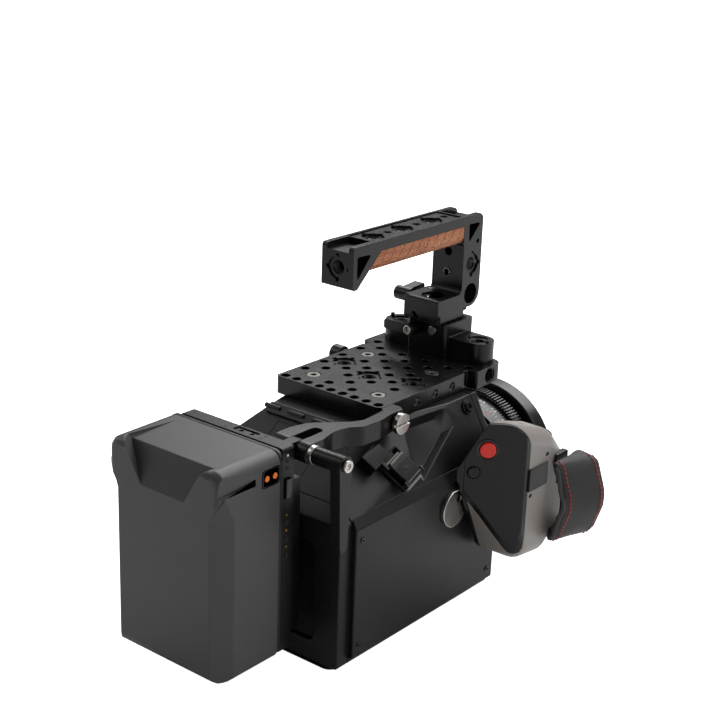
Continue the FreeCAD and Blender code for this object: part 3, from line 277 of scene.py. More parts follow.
def merged(node):
    """A copy of a CAD node's mesh with its loose triangles joined and its flat faces made whole."""
    bm = bmesh.new()
    bm.from_mesh(frame["nodes"][node].data)
    bmesh.ops.remove_doubles(bm, verts=bm.verts, dist=3e-6)
    bmesh.ops.dissolve_limit(bm, angle_limit=math.radians(0.6), verts=bm.verts, edges=bm.edges)
    mesh = bpy.data.meshes.new(node + "_copy")
    bm.to_mesh(mesh)
    bm.free()
    return mesh


def tree_of(mesh):
    """A tree for finding where a line meets a mesh, or its nearest point."""
    return BVHTree.FromPolygons([v.co for v in mesh.vertices], [p.vertices for p in mesh.polygons])


def broken_edges(mesh, width, segments=2, limit=32):
    """The mesh with its sharp edges rounded over by a width in mm, or less where that would not fit."""
    skin_before = tree_of(mesh)
    tries = [(share, angle, clamp) for clamp in (False, True) for angle in (limit, 55, 75)
             for share in (1.0, 0.6, 0.35)]
    for share, angle, clamp in tries:
        thing = shown("edge_work", mesh.copy())
        bevel = thing.modifiers.new("edges", "BEVEL")
        bevel.width, bevel.segments = width * share * MM, segments
        bevel.limit_method, bevel.angle_limit = "ANGLE", math.radians(angle)
        bevel.use_clamp_overlap = clamp
        result = settled(thing)
        stray = max(skin_before.find_nearest(vert.co)[3] for vert in result.vertices)
        if stray < 0.75 * width * share * MM:
            return result
    print("edges left sharp on", mesh.name, "stray", round(stray / MM, 2))
    return mesh

# %% [markdown]
# Machined parts never have knife edges: a chamfer of a few tenths of a millimetre catches the light and
# draws every outline. A Bevel on a merged copy of each CAD part gives that, with the width set per part.

# %% Machined and moulded parts with broken edges
EDGES = {
    "top_cover": (0.4, casing_paint), "right_cover": (0.9, casing_paint),
    "left_cover": (0.9, casing_paint), "front_panel": (1.0, casing_paint), "rear_panel": (1.0, casing_paint),
    "base_plate": (0.6, anodised), "rear_strip": (0.5, black_plastic), "flank_bolt": (0.3, anodised),
    "cable_clamp": (0.5, gloss_black), "cable_latch": (0.4, gloss_black), "strap_lug": (0.5, steel),
    "connector_panel": (0.3, black_plastic), "video_sockets": (0.25, steel), "lens_mount": (0.4, steel),
    "mount_lock_ring": (0.5, ring_black), "top_plate": (0.4, anodised), "plate_screws": (0.3, dull_steel),
    "riser": (0.6, anodised), "nato_rail": (0.3, anodised), "riser_lever_screw": (0.25, steel),
    "riser_lever": (0.5, anodised), "riser_button": (0.6, dull_steel), "handle_frame": (0.6, anodised),
    "handle_screws": (0.25, steel), "clamp_jaw": (0.6, anodised), "clamp_lever": (0.7, anodised),
    "battery_arm": (0.7, anodised), "hinge_shaft": (0.4, steel), "arm_lever": (1.6, anodised),
    "arm_thumbscrew": (0.4, steel), "side_knob": (0.6, anodised), "battery_plate": (0.6, black_plastic),
    "power_socket": (0.3, gloss_black), "power_pins": (0.3, gold), "battery_release": (0.5, gloss_black),
    "battery_base": (0.6, black_plastic), "battery_socket": (0.3, gloss_black),
    "battery_contacts": (0.4, orange_brass), "grip_base": (0.6, black_plastic),
    "record_button": (0.8, red_rubber), "second_button": (0.7, dark_rubber),
    "lens_barrel": (0.15, ring_black), "front_ring": (0.15, ring_black),
}
for node, (width, look) in EDGES.items():
    mesh = broken_edges(merged(node), width)
    finished(node + "_finished", mesh, look, node, [node])
print(len(EDGES), "parts with broken edges")

# %% Inner parts and the rest keep their CAD shape
PLAIN = {"sensor_frame": anodised, "sensor_block": glass, "main_board": copper_board,
         "cooling_fan": black_plastic, "lens_glass": glass, "battery_cells": cell_sleeve}
for node, look in PLAIN.items():
    for at in frame["nodes"][node].material_slots:
        at.material = look
print(len(PLAIN), "parts in their own shape")

# %% [markdown]
# Moulded and carved shapes need a few solid-making helpers: a closed rounded outline, a skin drawn over a
# series of outlines, and a cut made with one solid in another by an exact Boolean.

# %% Helpers for lofted and carved solids
def rounded_outline(corners, steps=6):
    """Points round a closed outline in two coordinates; each corner is (u, v, radius)."""
    points = []
    for i, (u, v, radius) in enumerate(corners):
        here = Vector((u, v))
        back = Vector(corners[i - 1][:2]) - here
        on = Vector(corners[(i + 1) % len(corners)][:2]) - here
        half = back.angle(on) / 2
        reach = min(radius / math.tan(half), 0.48 * back.length, 0.48 * on.length)
        radius = reach * math.tan(half)
        middle = (back.normalized() + on.normalized()).normalized()
        centre = here + middle * (radius / math.sin(half))
        start = here + back.normalized() * reach - centre
        end = here + on.normalized() * reach - centre
        sweep = start.angle_signed(end) if radius else 0
        for k in range(steps + 1):
            spoke = start.copy()
            spoke.rotate(Matrix.Rotation(-sweep * k / steps, 2))
            points.append(centre + spoke)
    return points


def wheel(sides):
    """Cosine and sine of even steps round a circle."""
    return [(math.cos(math.tau * k / sides), math.sin(math.tau * k / sides)) for k in range(sides)]


def skinned(name, rings, closed=True):
    """A mesh drawn over equal-length rings of points in mm, with its two ends filled."""
    bm = bmesh.new()
    rows = [[bm.verts.new(Vector(p) * MM) for p in ring] for ring in rings]
    count = len(rows[0])
    for low, high in zip(rows, rows[1:]):
        for k in range(count):
            bm.faces.new((low[k], low[(k + 1) % count], high[(k + 1) % count], high[k]))
    if closed:
        bm.faces.new(rows[0])
        bm.faces.new(rows[-1])
    bmesh.ops.remove_doubles(bm, verts=bm.verts, dist=2e-6)
    bmesh.ops.recalc_face_normals(bm, faces=bm.faces)
    mesh = bpy.data.meshes.new(name)
    bm.to_mesh(mesh)
    bm.free()
    return mesh


def hull_of(name, points):
    """The convex solid round some points in mm."""
    bm = bmesh.new()
    for point in points:
        bm.verts.new(Vector(point) * MM)
    bmesh.ops.convex_hull(bm, input=bm.verts)
    bmesh.ops.recalc_face_normals(bm, faces=bm.faces)
    mesh = bpy.data.meshes.new(name)
    bm.to_mesh(mesh)
    bm.free()
    return mesh


def block(low, high):
    """A box solid between two corners in mm."""
    return hull_of("block", [(x, y, z) for x in (low[0], high[0]) for y in (low[1], high[1])
                             for z in (low[2], high[2])])


def turned(name, profile, segments=160, axis=(0, 0, LENS_Z)):
    """A ring turned about the lens axis from (y, radius) points."""
    rings = []
    for k in range(segments):
        angle = math.tau * k / segments
        rings.append([(axis[0] + r * math.cos(angle), y, axis[2] + r * math.sin(angle)) for y, r in profile])
    return skinned(name, rings + rings[:1], closed=False)


def joined(name, meshes):
    """One mesh from several."""
    bm = bmesh.new()
    for mesh in meshes:
        bm.from_mesh(mesh)
    whole = bpy.data.meshes.new(name)
    bm.to_mesh(whole)
    bm.free()
    return whole


def moved(mesh, matrix):
    """The same mesh, with its place changed; the matrix is in mm."""
    matrix = matrix.copy()
    matrix.translation *= MM
    mesh.transform(matrix)
    return mesh


def carved(mesh, tools):
    """The mesh with the tools' solids cut away."""
    thing = shown("carving", mesh)
    cutters = [shown("cutter", tool) for tool in tools]
    for cutter in cutters:
        cut = thing.modifiers.new("cut", "BOOLEAN")
        cut.operation, cut.solver, cut.object = "DIFFERENCE", "EXACT", cutter
    result = settled(thing)
    for cutter in cutters:
        bpy.data.objects.remove(cutter)
    return result


def trimmed(mesh, point, normal):
    """The mesh with everything on a plane's positive side taken off and the opening filled."""
    bm = bmesh.new()
    bm.from_mesh(mesh)
    cut = bmesh.ops.bisect_plane(bm, geom=bm.verts[:] + bm.edges[:] + bm.faces[:], plane_co=Vector(point) * MM,
                                 plane_no=Vector(normal), clear_outer=True, dist=1e-6)
    edges = [part for part in cut["geom_cut"] if isinstance(part, bmesh.types.BMEdge)]
    bmesh.ops.contextual_create(bm, geom=edges)
    bmesh.ops.recalc_face_normals(bm, faces=bm.faces)
    bm.to_mesh(mesh)
    bm.free()
    return mesh

# %% [markdown]
# Screws, threads, gear teeth, vents and stitches repeat one small shape at many places. One Geometry Nodes
# tree does it: every point of a plain mesh carries the direction and size of its copy, the tree puts a copy
# of the part there, and the result is turned into ordinary geometry.

# %% A tree that sets copies out on points
setting = bpy.data.node_groups.new("set_out", "GeometryNodeTree")
for label, kind in (("Places", "NodeSocketGeometry"), ("Part", "NodeSocketObject"), ("Size", "NodeSocketFloat"),
                    ("Finish", "NodeSocketMaterial")):
    setting.interface.new_socket(label, in_out="INPUT", socket_type=kind)
setting.interface.new_socket("Result", in_out="OUTPUT", socket_type="NodeSocketGeometry")
given = add(setting, "NodeGroupInput")
part = add(setting, "GeometryNodeObjectInfo", {"Object": given.outputs["Part"], "As Instance": True})
aim = add(setting, "GeometryNodeInputNamedAttribute", {"Name": "aim"}, data_type="FLOAT_VECTOR")
hand = add(setting, "GeometryNodeInputNamedAttribute", {"Name": "hand"}, data_type="FLOAT_VECTOR")
grow = add(setting, "GeometryNodeInputNamedAttribute", {"Name": "grow"}, data_type="FLOAT")
face = add(setting, "FunctionNodeAxesToRotation",
           {"Primary Axis": aim.outputs[0], "Secondary Axis": hand.outputs[0]},
           primary_axis="Z", secondary_axis="X")
scale = add(setting, "ShaderNodeMath", {0: grow.outputs[0], 1: given.outputs["Size"]}, operation="MULTIPLY")
copies = add(setting, "GeometryNodeInstanceOnPoints", {"Points": given.outputs["Places"],
                                                      "Instance": part.outputs["Geometry"],
                                                      "Rotation": face.outputs[0], "Scale": scale.outputs[0]})
real = add(setting, "GeometryNodeRealizeInstances", {0: copies.outputs[0]})
painted = add(setting, "GeometryNodeSetMaterial", {0: real.outputs[0], "Material": given.outputs["Finish"]})
add(setting, "NodeGroupOutput", {0: painted.outputs[0]})
INPUT = {item.name: item.identifier for item in setting.interface.items_tree if item.in_out == "INPUT"}


def set_out(name, part_mesh, places, look):
    """Copies of a part, Z along each place's aim: places are (point, aim, hand, growth) in mm."""
    mesh = bpy.data.meshes.new(name)
    mesh.from_pydata([Vector(place[0]) * MM for place in places], [], [])
    for label, column in (("aim", 1), ("hand", 2)):
        values = mesh.attributes.new(label, "FLOAT_VECTOR", "POINT")
        for item, place in zip(values.data, places):
            item.vector = Vector(place[column]).normalized()
    values = mesh.attributes.new("grow", "FLOAT", "POINT")
    for item, place in zip(values.data, places):
        item.value = place[3]
    thing, sample = shown(name, mesh), shown("sample", part_mesh)
    nodes = thing.modifiers.new("copies", "NODES")
    nodes.node_group = setting
    nodes[INPUT["Part"]], nodes[INPUT["Size"]], nodes[INPUT["Finish"]] = sample, 1.0, look
    result = settled(thing)
    bpy.data.objects.remove(sample)
    return result

def laid_out(name, part_mesh, places, look, near):
    """Copies of a part, finished as one piece that rides with a CAD part."""
    return finished(name, set_out(name, part_mesh, places, look), look, near)

# %% Small parts that repeat
def screw_thread(radius, pitch, turns, ridge=0.42, steps=20):
    """The crests inside a tapped hole: a ridge that winds down from the mouth at z = 0."""
    rings = []
    for k in range(int(turns * steps) + 1):
        angle, depth = math.tau * k / steps, -pitch * k / steps
        rings.append([(r * math.cos(angle), r * math.sin(angle), depth + z)
                      for r, z in ((radius, 0), (radius - ridge, -pitch / 2), (radius, -pitch))])
    return skinned("thread", rings)


def cap_screw(radius, height):
    """A socket cap screw's head, with its top at z = height and a hexagon sunk in it."""
    def circle(r, z, sides=24):
        return [(r * c, r * s, z) for c, s in wheel(sides)]
    hexagon = [Vector(p) for p in circle(0.52 * radius, 0, 6)]
    inner = [tuple(hexagon[k // 4].lerp(hexagon[(k // 4 + 1) % 6], (k % 4) / 4)) for k in range(24)]
    rings = [circle(radius, 0), circle(radius, height - 0.25), circle(radius - 0.25, height)]
    rings += [[(x, y, height) for x, y, z in inner], [(x, y, height * 0.35) for x, y, z in inner]]
    return skinned("cap_screw", rings)


def lozenge(length, width, depth, steps=5):
    """A slot-shaped plug lying along X with its face at z = 0."""
    shape = rounded_outline([(length / 2, width / 2, width / 2), (length / 2, -width / 2, width / 2),
                             (-length / 2, -width / 2, width / 2), (-length / 2, width / 2, width / 2)], steps)
    return skinned("lozenge", [[(p.x, p.y, z) for p in shape] for z in (-depth, 0.04)])


def disc(radius, depth, sides=24):
    """A small button with a broken rim, its face at z = depth."""
    rings = []
    for r, z in ((radius, 0), (radius, 0.7 * depth), (radius - 0.3 * depth, depth)):
        rings.append([(r * c, r * s, z) for c, s in wheel(sides)])
    return skinned("disc", rings)

# %% [markdown]
# The battery is a moulded box whose back carries a sunken V: the lid slopes down towards the back, turns
# over the edge and fades out between two slanting walls. The box is lofted from rounded rectangles and the
# V, the tapered sides and the socket's pocket are cut into it, which keeps every wall's crease crisp.

# %% Battery case
low_z, high_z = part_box("battery_shell")[0][2] / MM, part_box("battery_shell")[1][2] / MM
side_x, back_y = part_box("battery_shell")[1][0] / MM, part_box("battery_cover")[0][1] / MM


def case_ring(y, half, low, high, radius=8):
    points = rounded_outline([(half, low, 5), (half, high, radius), (-half, high, radius), (-half, low, 5)])
    return [(p.x, y, p.y) for p in points]


case = skinned("battery_case", [case_ring(-103, side_x, low_z, high_z),
                                case_ring(-150.5, side_x, low_z, high_z, 9),
                                case_ring(-153.6, side_x - 1.6, low_z + 2, high_z - 1.2, 9),
                                case_ring(back_y, side_x - 4.6, low_z + 6, high_z - 4, 8)])
floor_line = [(-34, -108, 0.3), (34, -108, 0.3), (38, -144, -2.6), (15.5, -156.5, -28), (-15.5, -156.5, -28),
              (-38, -144, -2.6)]
sunk = [(x, y, TOP + z) for x, y, z in floor_line]
raised = [(x * 1.04, y - 11, z + 12) for x, y, z in sunk]
bm = bmesh.new()
low_row = [bm.verts.new(Vector(p) * MM) for p in sunk]
high_row = [bm.verts.new(Vector(p) * MM) for p in raised]
for row in (low_row, high_row):
    bm.faces.new((row[0], row[1], row[2], row[5]))
    bm.faces.new((row[5], row[2], row[3], row[4]))
for k in range(6):
    bm.faces.new((low_row[k], low_row[(k + 1) % 6], high_row[(k + 1) % 6], high_row[k]))
bmesh.ops.recalc_face_normals(bm, faces=bm.faces)
lid_cut = bpy.data.meshes.new("lid_cut")
bm.to_mesh(lid_cut)
bm.free()
cuts = [lid_cut]
for side in (1, -1):
    taper = ((48.3, -121), (60, -121), (60, -165), (44.6, -165))
    cuts.append(hull_of("waist", [(side * x, y, z) for x, y in taper for z in (TOP - 15, TOP + 5)]))
    wedge = [(48.4, -142, low_z - 5), (38.5, -155.9, low_z - 5), (60, -170, low_z - 5), (48.4, -142, TOP - 33),
             (38.5, -155.9, TOP - 33), (60, -170, TOP - 33), (48.4, -151, TOP - 13), (60, -170, TOP - 13)]
    cuts.append(hull_of("corner", [(side * x, y, z) for x, y, z in wedge]))
pocket = rounded_outline([(-118.9, TOP - 19.2, 1.6), (-118.9, TOP - 8.1, 1.6), (-103.9, TOP - 8.1, 1.6),
                          (-103.9, TOP - 19.2, 1.6)], 4)
cuts.append(skinned("tap_pocket", [[(x, p.x, p.y) for p in pocket] for x in (44.5, 52)]))
case = broken_edges(carved(case, cuts), 0.5, limit=24)
finished("battery_case", case, charcoal_plastic, "battery_shell", ["battery_shell", "battery_cover"], sharp=24)
frame_ring = [(48.25, p.x, p.y) for p in pocket]
middle = Vector((48.25, -111.4, TOP - 13.65))
inner_ring = [tuple(middle + (Vector(p) - middle) * 0.86) for p in frame_ring]
rim = skinned("tap_rim", [frame_ring, inner_ring, [(47.2, y, z) for x, y, z in inner_ring],
                          [(47.2, y, z) for x, y, z in frame_ring], frame_ring], closed=False)
finished("tap_rim", rim, gloss_black, "battery_socket")
print("battery case has", len(case.polygons), "faces")

# %% [markdown]
# The battery plate carries small keys, lamps and contact pins down its open edge, and pin holes in its top;
# the holes are near-black discs of painted shade.

# %% Fittings on the battery plate
PLATE_EDGE = (46.0, -94.4)
keys = [((*PLATE_EDGE, TOP - z), RIGHT, UP, grow)
        for z, grow in ((9, 0.8), (14, 0.8), (40, 1), (50, 1), (61, 1), (72, 1))]
laid_out("plate_keys", disc(1.5, 0.45), keys, dark_rubber, "battery_plate")
pins = [((*PLATE_EDGE, TOP - z), RIGHT, UP, 1) for z in (45, 55.5, 66.5)]
laid_out("plate_pins", disc(0.7, 0.4, 14), pins, gold, "battery_plate")
# the pin holes are near-black discs on the plate top: painted shade in the holes
holes = [((x, y, TOP), UP, RIGHT, 1) for x in (-5, 25) for y in (-91.2, -95.6)]
laid_out("plate_pin_holes", disc(0.9, 0.05, 16), holes, deep_shadow, "battery_plate")
laid_out("charge_lamp", disc(0.8, 0.3, 16), [((*PLATE_EDGE, TOP - 5.4), RIGHT, UP, 1)], white_paint,
         "battery_plate")
rails = []
for x in (-33, -8, 17, 38):
    rails.append(block((x - 1.1, -77.6, 40), (x + 1.1, -76.8, TOP - 32)))
finished("plate_rail_lines", broken_edges(joined("rail_lines", rails), 0.3), dull_steel, "battery_plate")

# %% [markdown]
# The camera's right shoulder is sunk between a V of ribs. A convex tool with drafted walls is cut out of the
# casing's copy, so the recess has the sloping walls that catch the light.

# %% Casing with its recessed shoulder
outer = [(46, 18, -14.5), (53.2, 58.6, -12), (60.6, 63, -25.5), (73.2, 10.5, -50.5), (70.4, 4.6, -44.5),
         (57.6, 9.5, -25)]
centre = sum((Vector(p) for p in outer), Vector()) / len(outer)
inward = Vector((0.79, -0.06, 0.61))
cutter = [Vector(p) + inward * 1.2 for p in outer]
cutter += [centre + (Vector(p) - centre) * 0.66 - inward * 5.5 for p in outer]
tools = []
for side in (1, -1):
    tools.append(hull_of("shoulder_recess", [(side * p.x, p.y, TOP + p.z) for p in cutter]))
case = broken_edges(carved(merged("main_casing"), tools), 0.8)
finished("main_casing_finished", case, casing_paint, "main_casing", ["main_casing"])

# %% [markdown]
# A hinge strip crosses the back of the deck under the plate, with knuckles and small notches; the slope
# below it is a plain door with a fine seam round it, drawn as thin near-black strips of painted shade.

# %% Rear door details
run = math.atan2(149.3 - 108, -19 + 73)
down = Vector((0, -math.cos(run), -math.sin(run)))
out = Vector((0, -math.sin(run), math.cos(run)))
head = Vector((0, -19, 149.3))
knuckles = []
for x in (-30, -9, 12, 29):
    rings = []
    for end in (-6.5, 6.5):
        centre = head + down * 4.6 + out * 2.2 + Vector((x + end, 0, 0))
        rings.append([tuple(centre + (out * s + down * c) * 1.7) for c, s in wheel(20)])
    knuckles.append(skinned("knuckle", rings))
finished("hinge_knuckles", broken_edges(joined("knuckles", knuckles), 0.3), black_plastic, "rear_strip")
# the seam is thin near-black strips laid in the skin: painted shade in the gap
seam = []
for x in (-21, 22):
    seam.append(hull_of("seam", [head + down * d + out * o + Vector((x + w, 0, 0))
                                 for d in (12, 52) for o in (-0.3, 0.12) for w in (-0.35, 0.35)]))
seam.append(hull_of("seam", [head + down * (12 + d) + out * o + Vector((x, 0, 0))
                             for d in (0, 0.7) for o in (-0.3, 0.12) for x in (-21, 22)]))
finished("door_seam", joined("door_seam", seam), deep_shadow, "main_casing")

# %% [markdown]
# The cable clamp is a block and a sprung buckle. Two bright bars hold the latch, and its leaf has raised
# ridges. They are built in the clamp's own axes and then turned on to the shoulder.

# %% Cable clamp fittings
across_leaf = Vector((-0.1064, 0.9547, 0.278))
off_wall = Vector((0.640, -0.148, 0.753)).normalized()
downhill = across_leaf.cross(off_wall).normalized()
clamp_foot = Vector((65.3, -7.8, 0))
clamp_foot.z = 149.3 - (0.640 * (clamp_foot.x - 52) - 0.148 * (clamp_foot.y - 59)) / 0.753
place = Matrix((downhill, across_leaf, off_wall)).transposed().to_4x4()
place.translation = clamp_foot


def bar(x, z, length, radius):
    return skinned("bar", [[(x + radius * c, y, z + radius * s) for c, s in wheel(16)]
                           for y in (-length / 2, length / 2)])


bars = joined("bars", [bar(-8.2, 4.4, 15, 0.9), bar(-6.6, 7.6, 14.5, 0.7)])
finished("clamp_bars", broken_edges(moved(bars, place), 0.25), dull_steel, "cable_clamp")
posts = joined("posts", [block((-12, side * 9.2 - 1.3, 2.5), (-5, side * 9.2 + 1.3, 6.2)) for side in (1, -1)])
finished("clamp_posts", broken_edges(moved(posts, place), 0.4), black_plastic, "cable_clamp")
lines = [block((-5.6, -7.6, 7.1), (-4.6, 7.6, 7.75)), block((-3.6, -7.6, 7.1), (-3.0, 7.6, 7.5)),
         block((1.2, -1.5, 7.0), (4.2, 1.5, 7.32)), block((6.0, -7.6, 7.0), (7.6, 7.6, 7.9))]
finished("latch_ridges", broken_edges(moved(joined("ridges", lines), place), 0.2), gloss_black, "cable_latch")
lip = block((11.6, -8, 0.2), (13.4, 9, 2.2))
# the lip takes the same light grey that stands for painted sheen on the grip
finished("clamp_lip", broken_edges(moved(lip, place), 0.4), sheen_grey, "cable_clamp")

# %% [markdown]
# The handle's inlay is turned over at the bottom to fit the fingers and has slanting grooves cut in both
# faces. The grooves are a row of thin cutters set out by the tree and taken away in one cut.

# %% Wooden inlay
wood_low, wood_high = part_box("wood_grip")
half_wood, wood_base, wood_top = wood_high[0] / MM, wood_low[2] / MM, wood_high[2] / MM
front_end = wood_high[1] / MM
section = rounded_outline([(half_wood, wood_base, 6.5), (half_wood, wood_top, 0.4), (-half_wood, wood_top, 0.4),
                           (-half_wood, wood_base, 6.5)], 8)
rear_ring = [(p.x, 17.6 + (p.y - wood_base) * 14.9 / 13.4, p.y) for p in section]
inlay = skinned("inlay", [rear_ring, [(p.x, front_end, p.y) for p in section]])
notch = ((0.38, 0.35), (-0.38, 0.35), (0, -0.75))
cutter = hull_of("groove_cutter", [(x, y, z) for y in (-11, 11) for x, z in notch])
slant = Vector((0, 0.62, 0.78)).normalized()
places = []
for side in (1, -1):
    outward = Vector((side, 0, 0))
    for k in range(10):
        middle = (side * half_wood, 34 + 9.6 * k, (wood_base + wood_top) / 2 + 1)
        places.append((middle, outward, slant.cross(outward), 1))
grooves = set_out("grooves", cutter, places, sapele)
inlay = carved(inlay, [grooves])
finished("wooden_inlay", inlay, sapele, "wood_grip", ["wood_grip"], sharp=30)

# %% [markdown]
# Tapped holes show the crests of their threads. Each is one ridge wound into the hole; 3/8 in holes have 16
# turns to the inch and 1/4 in holes 20.

# %% Threads in the tapped holes
big, small = screw_thread(4.72, 1.5875, 6), screw_thread(3.14, 1.27, 5)
big_rig = [((51.0 - 1.0, 114, TOP - 6.35), RIGHT, FORWARD, 1)]
big_rig += [((side * 34.5, 121, TOP + 13.6), UP, RIGHT, 1) for side in (1, -1)]
PITCH = 10.16
big_rig += [(((c - 4) * PITCH, r * PITCH, TOP - 1.8), UP, RIGHT, 1) for c, r in ((1, 5), (4, 4), (7, 5))]
laid_out("rig_large_threads", big, big_rig, anodised, "top_plate")
edge_holes = [((45.9, y, TOP - 6.2), RIGHT, FORWARD, 1) for y in (15, 35.3, 55.7, 75.5)]
laid_out("plate_edge_threads", small, edge_holes, dull_steel, "top_plate")
big_handle = [((0, 4.3, TOP + 84), (0, -1, 0), RIGHT, 1), ((12.1, 138.2, TOP + 63.1), RIGHT, FORWARD, 1),
              ((-12.1, 138.2, TOP + 63.1), (-1, 0, 0), (0, 1, 0), 1)]
big_handle += [((0, y, TOP + 96.7), UP, RIGHT, 1) for y in (39.3, 71, 104.5)]
laid_out("handle_large_threads", screw_thread(4.72, 1.5875, 4.5), big_handle, dull_steel, "handle_frame")
small_handle = [((0, y, TOP + 98.4), UP, RIGHT, 1) for y in (55.2, 87.5, 119.7)]
laid_out("handle_small_threads", small, small_handle, anodised, "handle_frame")
print("threads cut")

# %% [markdown]
# The focus and iris rings have a drive gear of 0.8 module round them, and engraved scales. The rings are
# turned, the teeth are set out by the tree, and the numbers are small text made into mesh.

# %% Geared lens rings
def gear(name, node, profile, y, width, root, tip, count):
    height = tip - root
    tooth = hull_of("tooth", [(a, b, c) for b in (-width / 2, width / 2)
                              for a, c in ((0.85, -0.3), (-0.85, -0.3), (0.42, height), (-0.42, height))])
    places = []
    for k in range(count):
        angle = math.tau * k / count
        spoke = Vector((math.cos(angle), 0, math.sin(angle)))
        places.append(((root * spoke.x, y, LENS_Z + root * spoke.z), spoke, spoke.cross(Vector(FORWARD)), 1))
    teeth = set_out(name + "_teeth", tooth, places, ring_black)
    body = broken_edges(turned(name, profile), 0.3)
    finished(name, joined(name, [body, teeth]), ring_black, node, [node])


gear("focus_ring_geared", "focus_ring", [(152, 46.05), (152, 50.5), (171, 50.5), (171.6, 52.6), (180.4, 52.6),
                                         (181, 51.2), (183, 51.2), (183, 46.05)], 176, 8.4, 52.5, 54.45, 134)
gear("iris_ring_geared", "iris_ring", [(121, 40.05), (121, 45.6), (135, 45.6), (135, 40.05)], 128, 12.4, 45.5,
     47.45, 116)

def engraved(name, words, look, node, radius, y, size, step):
    """Numbers round a ring, read from outside, as thin raised paint."""
    marks = []
    for k, word in enumerate(words):
        curve = bpy.data.curves.new("mark", "FONT")
        curve.body, curve.size, curve.extrude = word, size * MM, 0.00004
        curve.align_x, curve.align_y = "CENTER", "CENTER"
        curve.resolution_u = 3
        mark = settled(bpy_object("mark", curve))
        angle = step * k
        spoke = Vector((math.sin(angle), 0, math.cos(angle)))
        side = Vector(FORWARD)
        turn = Matrix((side.cross(spoke), side, spoke)).transposed().to_4x4()
        turn.translation = (radius * spoke.x, y, LENS_Z + radius * spoke.z)
        marks.append(moved(mark, turn))
    finished(name, joined(name, marks), look, node)


def bpy_object(name, data):
    thing = bpy.data.objects.new(name, data)
    bpy.context.scene.collection.objects.link(thing)
    return thing


FEET, METRES = "2 3 4 5 7 10 15 20 40".split(), "0.6 0.9 1.2 1.5 2 3 5 8 12".split()
engraved("focus_feet", FEET * 3, red_paint, "focus_ring", 50.54, 157.4, 4.6, math.tau / 27)
engraved("focus_metres", METRES * 3, white_paint, "focus_ring", 50.54, 165.6, 4.2, math.tau / 27)
engraved("iris_marks", "2 2.8 4 5.6 8 11 16 22".split(), white_paint, "lens_barrel", 43.05, 112, 4.0,
         math.tau / 16)
ticks = []
for k in range(108):
    angle = math.tau * k / 108
    spoke = Vector((math.cos(angle), 0, math.sin(angle)))
    ticks.append(((50.5 * spoke.x, 161.6, LENS_Z + 50.5 * spoke.z), spoke, Vector(FORWARD), 1))
laid_out("focus_ticks", block((-0.9, -0.14, -0.1), (0.9, 0.14, 0.06)), ticks, white_paint, "focus_ring")
print("lens rings geared")

# %% [markdown]
# The side grip is a hollow moulding with a black back; its outer shell is dark plastic coloured a warm grey as
# painted sheen. Its side outline is drawn once, skinned from the camera outwards and drawn in over the last
# 12 mm so the outer edge is fully rounded, then trimmed by the same planes as the CAD.

# %% Side grip mouldings
GRIP = [(36, -12, 4), (60, -13, 12), (104, -28, 20), (129, -56, 14), (124, -100, 16), (98, -118, 14),
        (66, -114, 14), (50, -80, 12), (36, -52, 8)]
grip_in, grip_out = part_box("grip_base")[1][0] / MM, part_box("strap_webbing")[0][0] / MM
outline_points = rounded_outline(GRIP, 8)
crown = 12.0
straight = grip_out - crown - grip_in
stations = [(grip_in + 0.02, 0.0)] + [(grip_in + straight * k / 4, 0.0) for k in (1, 2, 3, 4)]
stations += [(grip_out - crown + crown * math.sin(a), crown * (1 - math.cos(a)))
             for a in [math.radians(v) for v in (15, 30, 45, 58, 70, 80, 90)]]
rings = []
for x, inset in stations:
    ring = []
    for k, point in enumerate(outline_points):
        along = outline_points[(k + 1) % len(outline_points)] - outline_points[k - 1]
        inward = Vector((along.y, -along.x)).normalized()
        spot = point + inward * inset
        ring.append((x, spot.x, TOP + spot.y))
    rings.append(ring)
shoulder = ((80.3, 0, TOP - 46), Vector((-33.9, 0, 14.7)).normalized())
facing = Vector((0.8, -1, 0)).normalized()
inner_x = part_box("grip_base")[1][0] / MM - 3.7


def back_plane(offset):
    return (inner_x, 42 + offset, 0), facing


moulding = trimmed(skinned("grip_moulding", rings), *shoulder)
shell = trimmed(moulding.copy(), *back_plane(0))
panel = trimmed(moulding.copy(), *back_plane(-5))
panel = trimmed(panel, back_plane(-0.05)[0], -facing)
bores = []
for x, z, radius in ((95.7, -30.9, 5.8), (89, -47.5, 4.3)):
    centre = Vector((x, 42 + (x - inner_x) * 0.8 - 5, TOP + z))
    side = facing.cross(Vector(UP))
    rings = []
    for reach in (-4.4, 3):
        rings.append([tuple(centre + facing * reach + (side * c + Vector(UP) * s) * radius)
                      for c, s in wheel(40)])
    bores.append(skinned("bore", rings))
panel = carved(panel, bores)
# the grip shell's light grey is painted sheen on dark plastic
finished("grip_shell_moulding", broken_edges(shell, 0.6, 3), sheen_grey, "grip_shell", ["grip_shell"], sharp=28)
finished("grip_back_moulding", broken_edges(panel, 0.7, 3), black_plastic, "grip_panel", ["grip_panel"],
         sharp=28)
print("grip mouldings", len(shell.polygons), len(panel.polygons))

# %% [markdown]
# Small openings in the grip are near-black plugs laid on its skin, painted shade where the openings are, and
# the strap's ends meet the grip at two plain anchor blocks.

# %% Openings and anchors on the grip
def on_skin(tree, point, away):
    """Where a line from outside meets a skin, and the skin's direction there."""
    start = (Vector(point) + Vector(away) * 60) * MM
    spot, normal = tree.ray_cast(start, -Vector(away))[:2]
    if spot is None:
        print("no skin under", point)
        spot, normal = tree.find_nearest(Vector(point) * MM)[:2]
    return spot / MM, normal


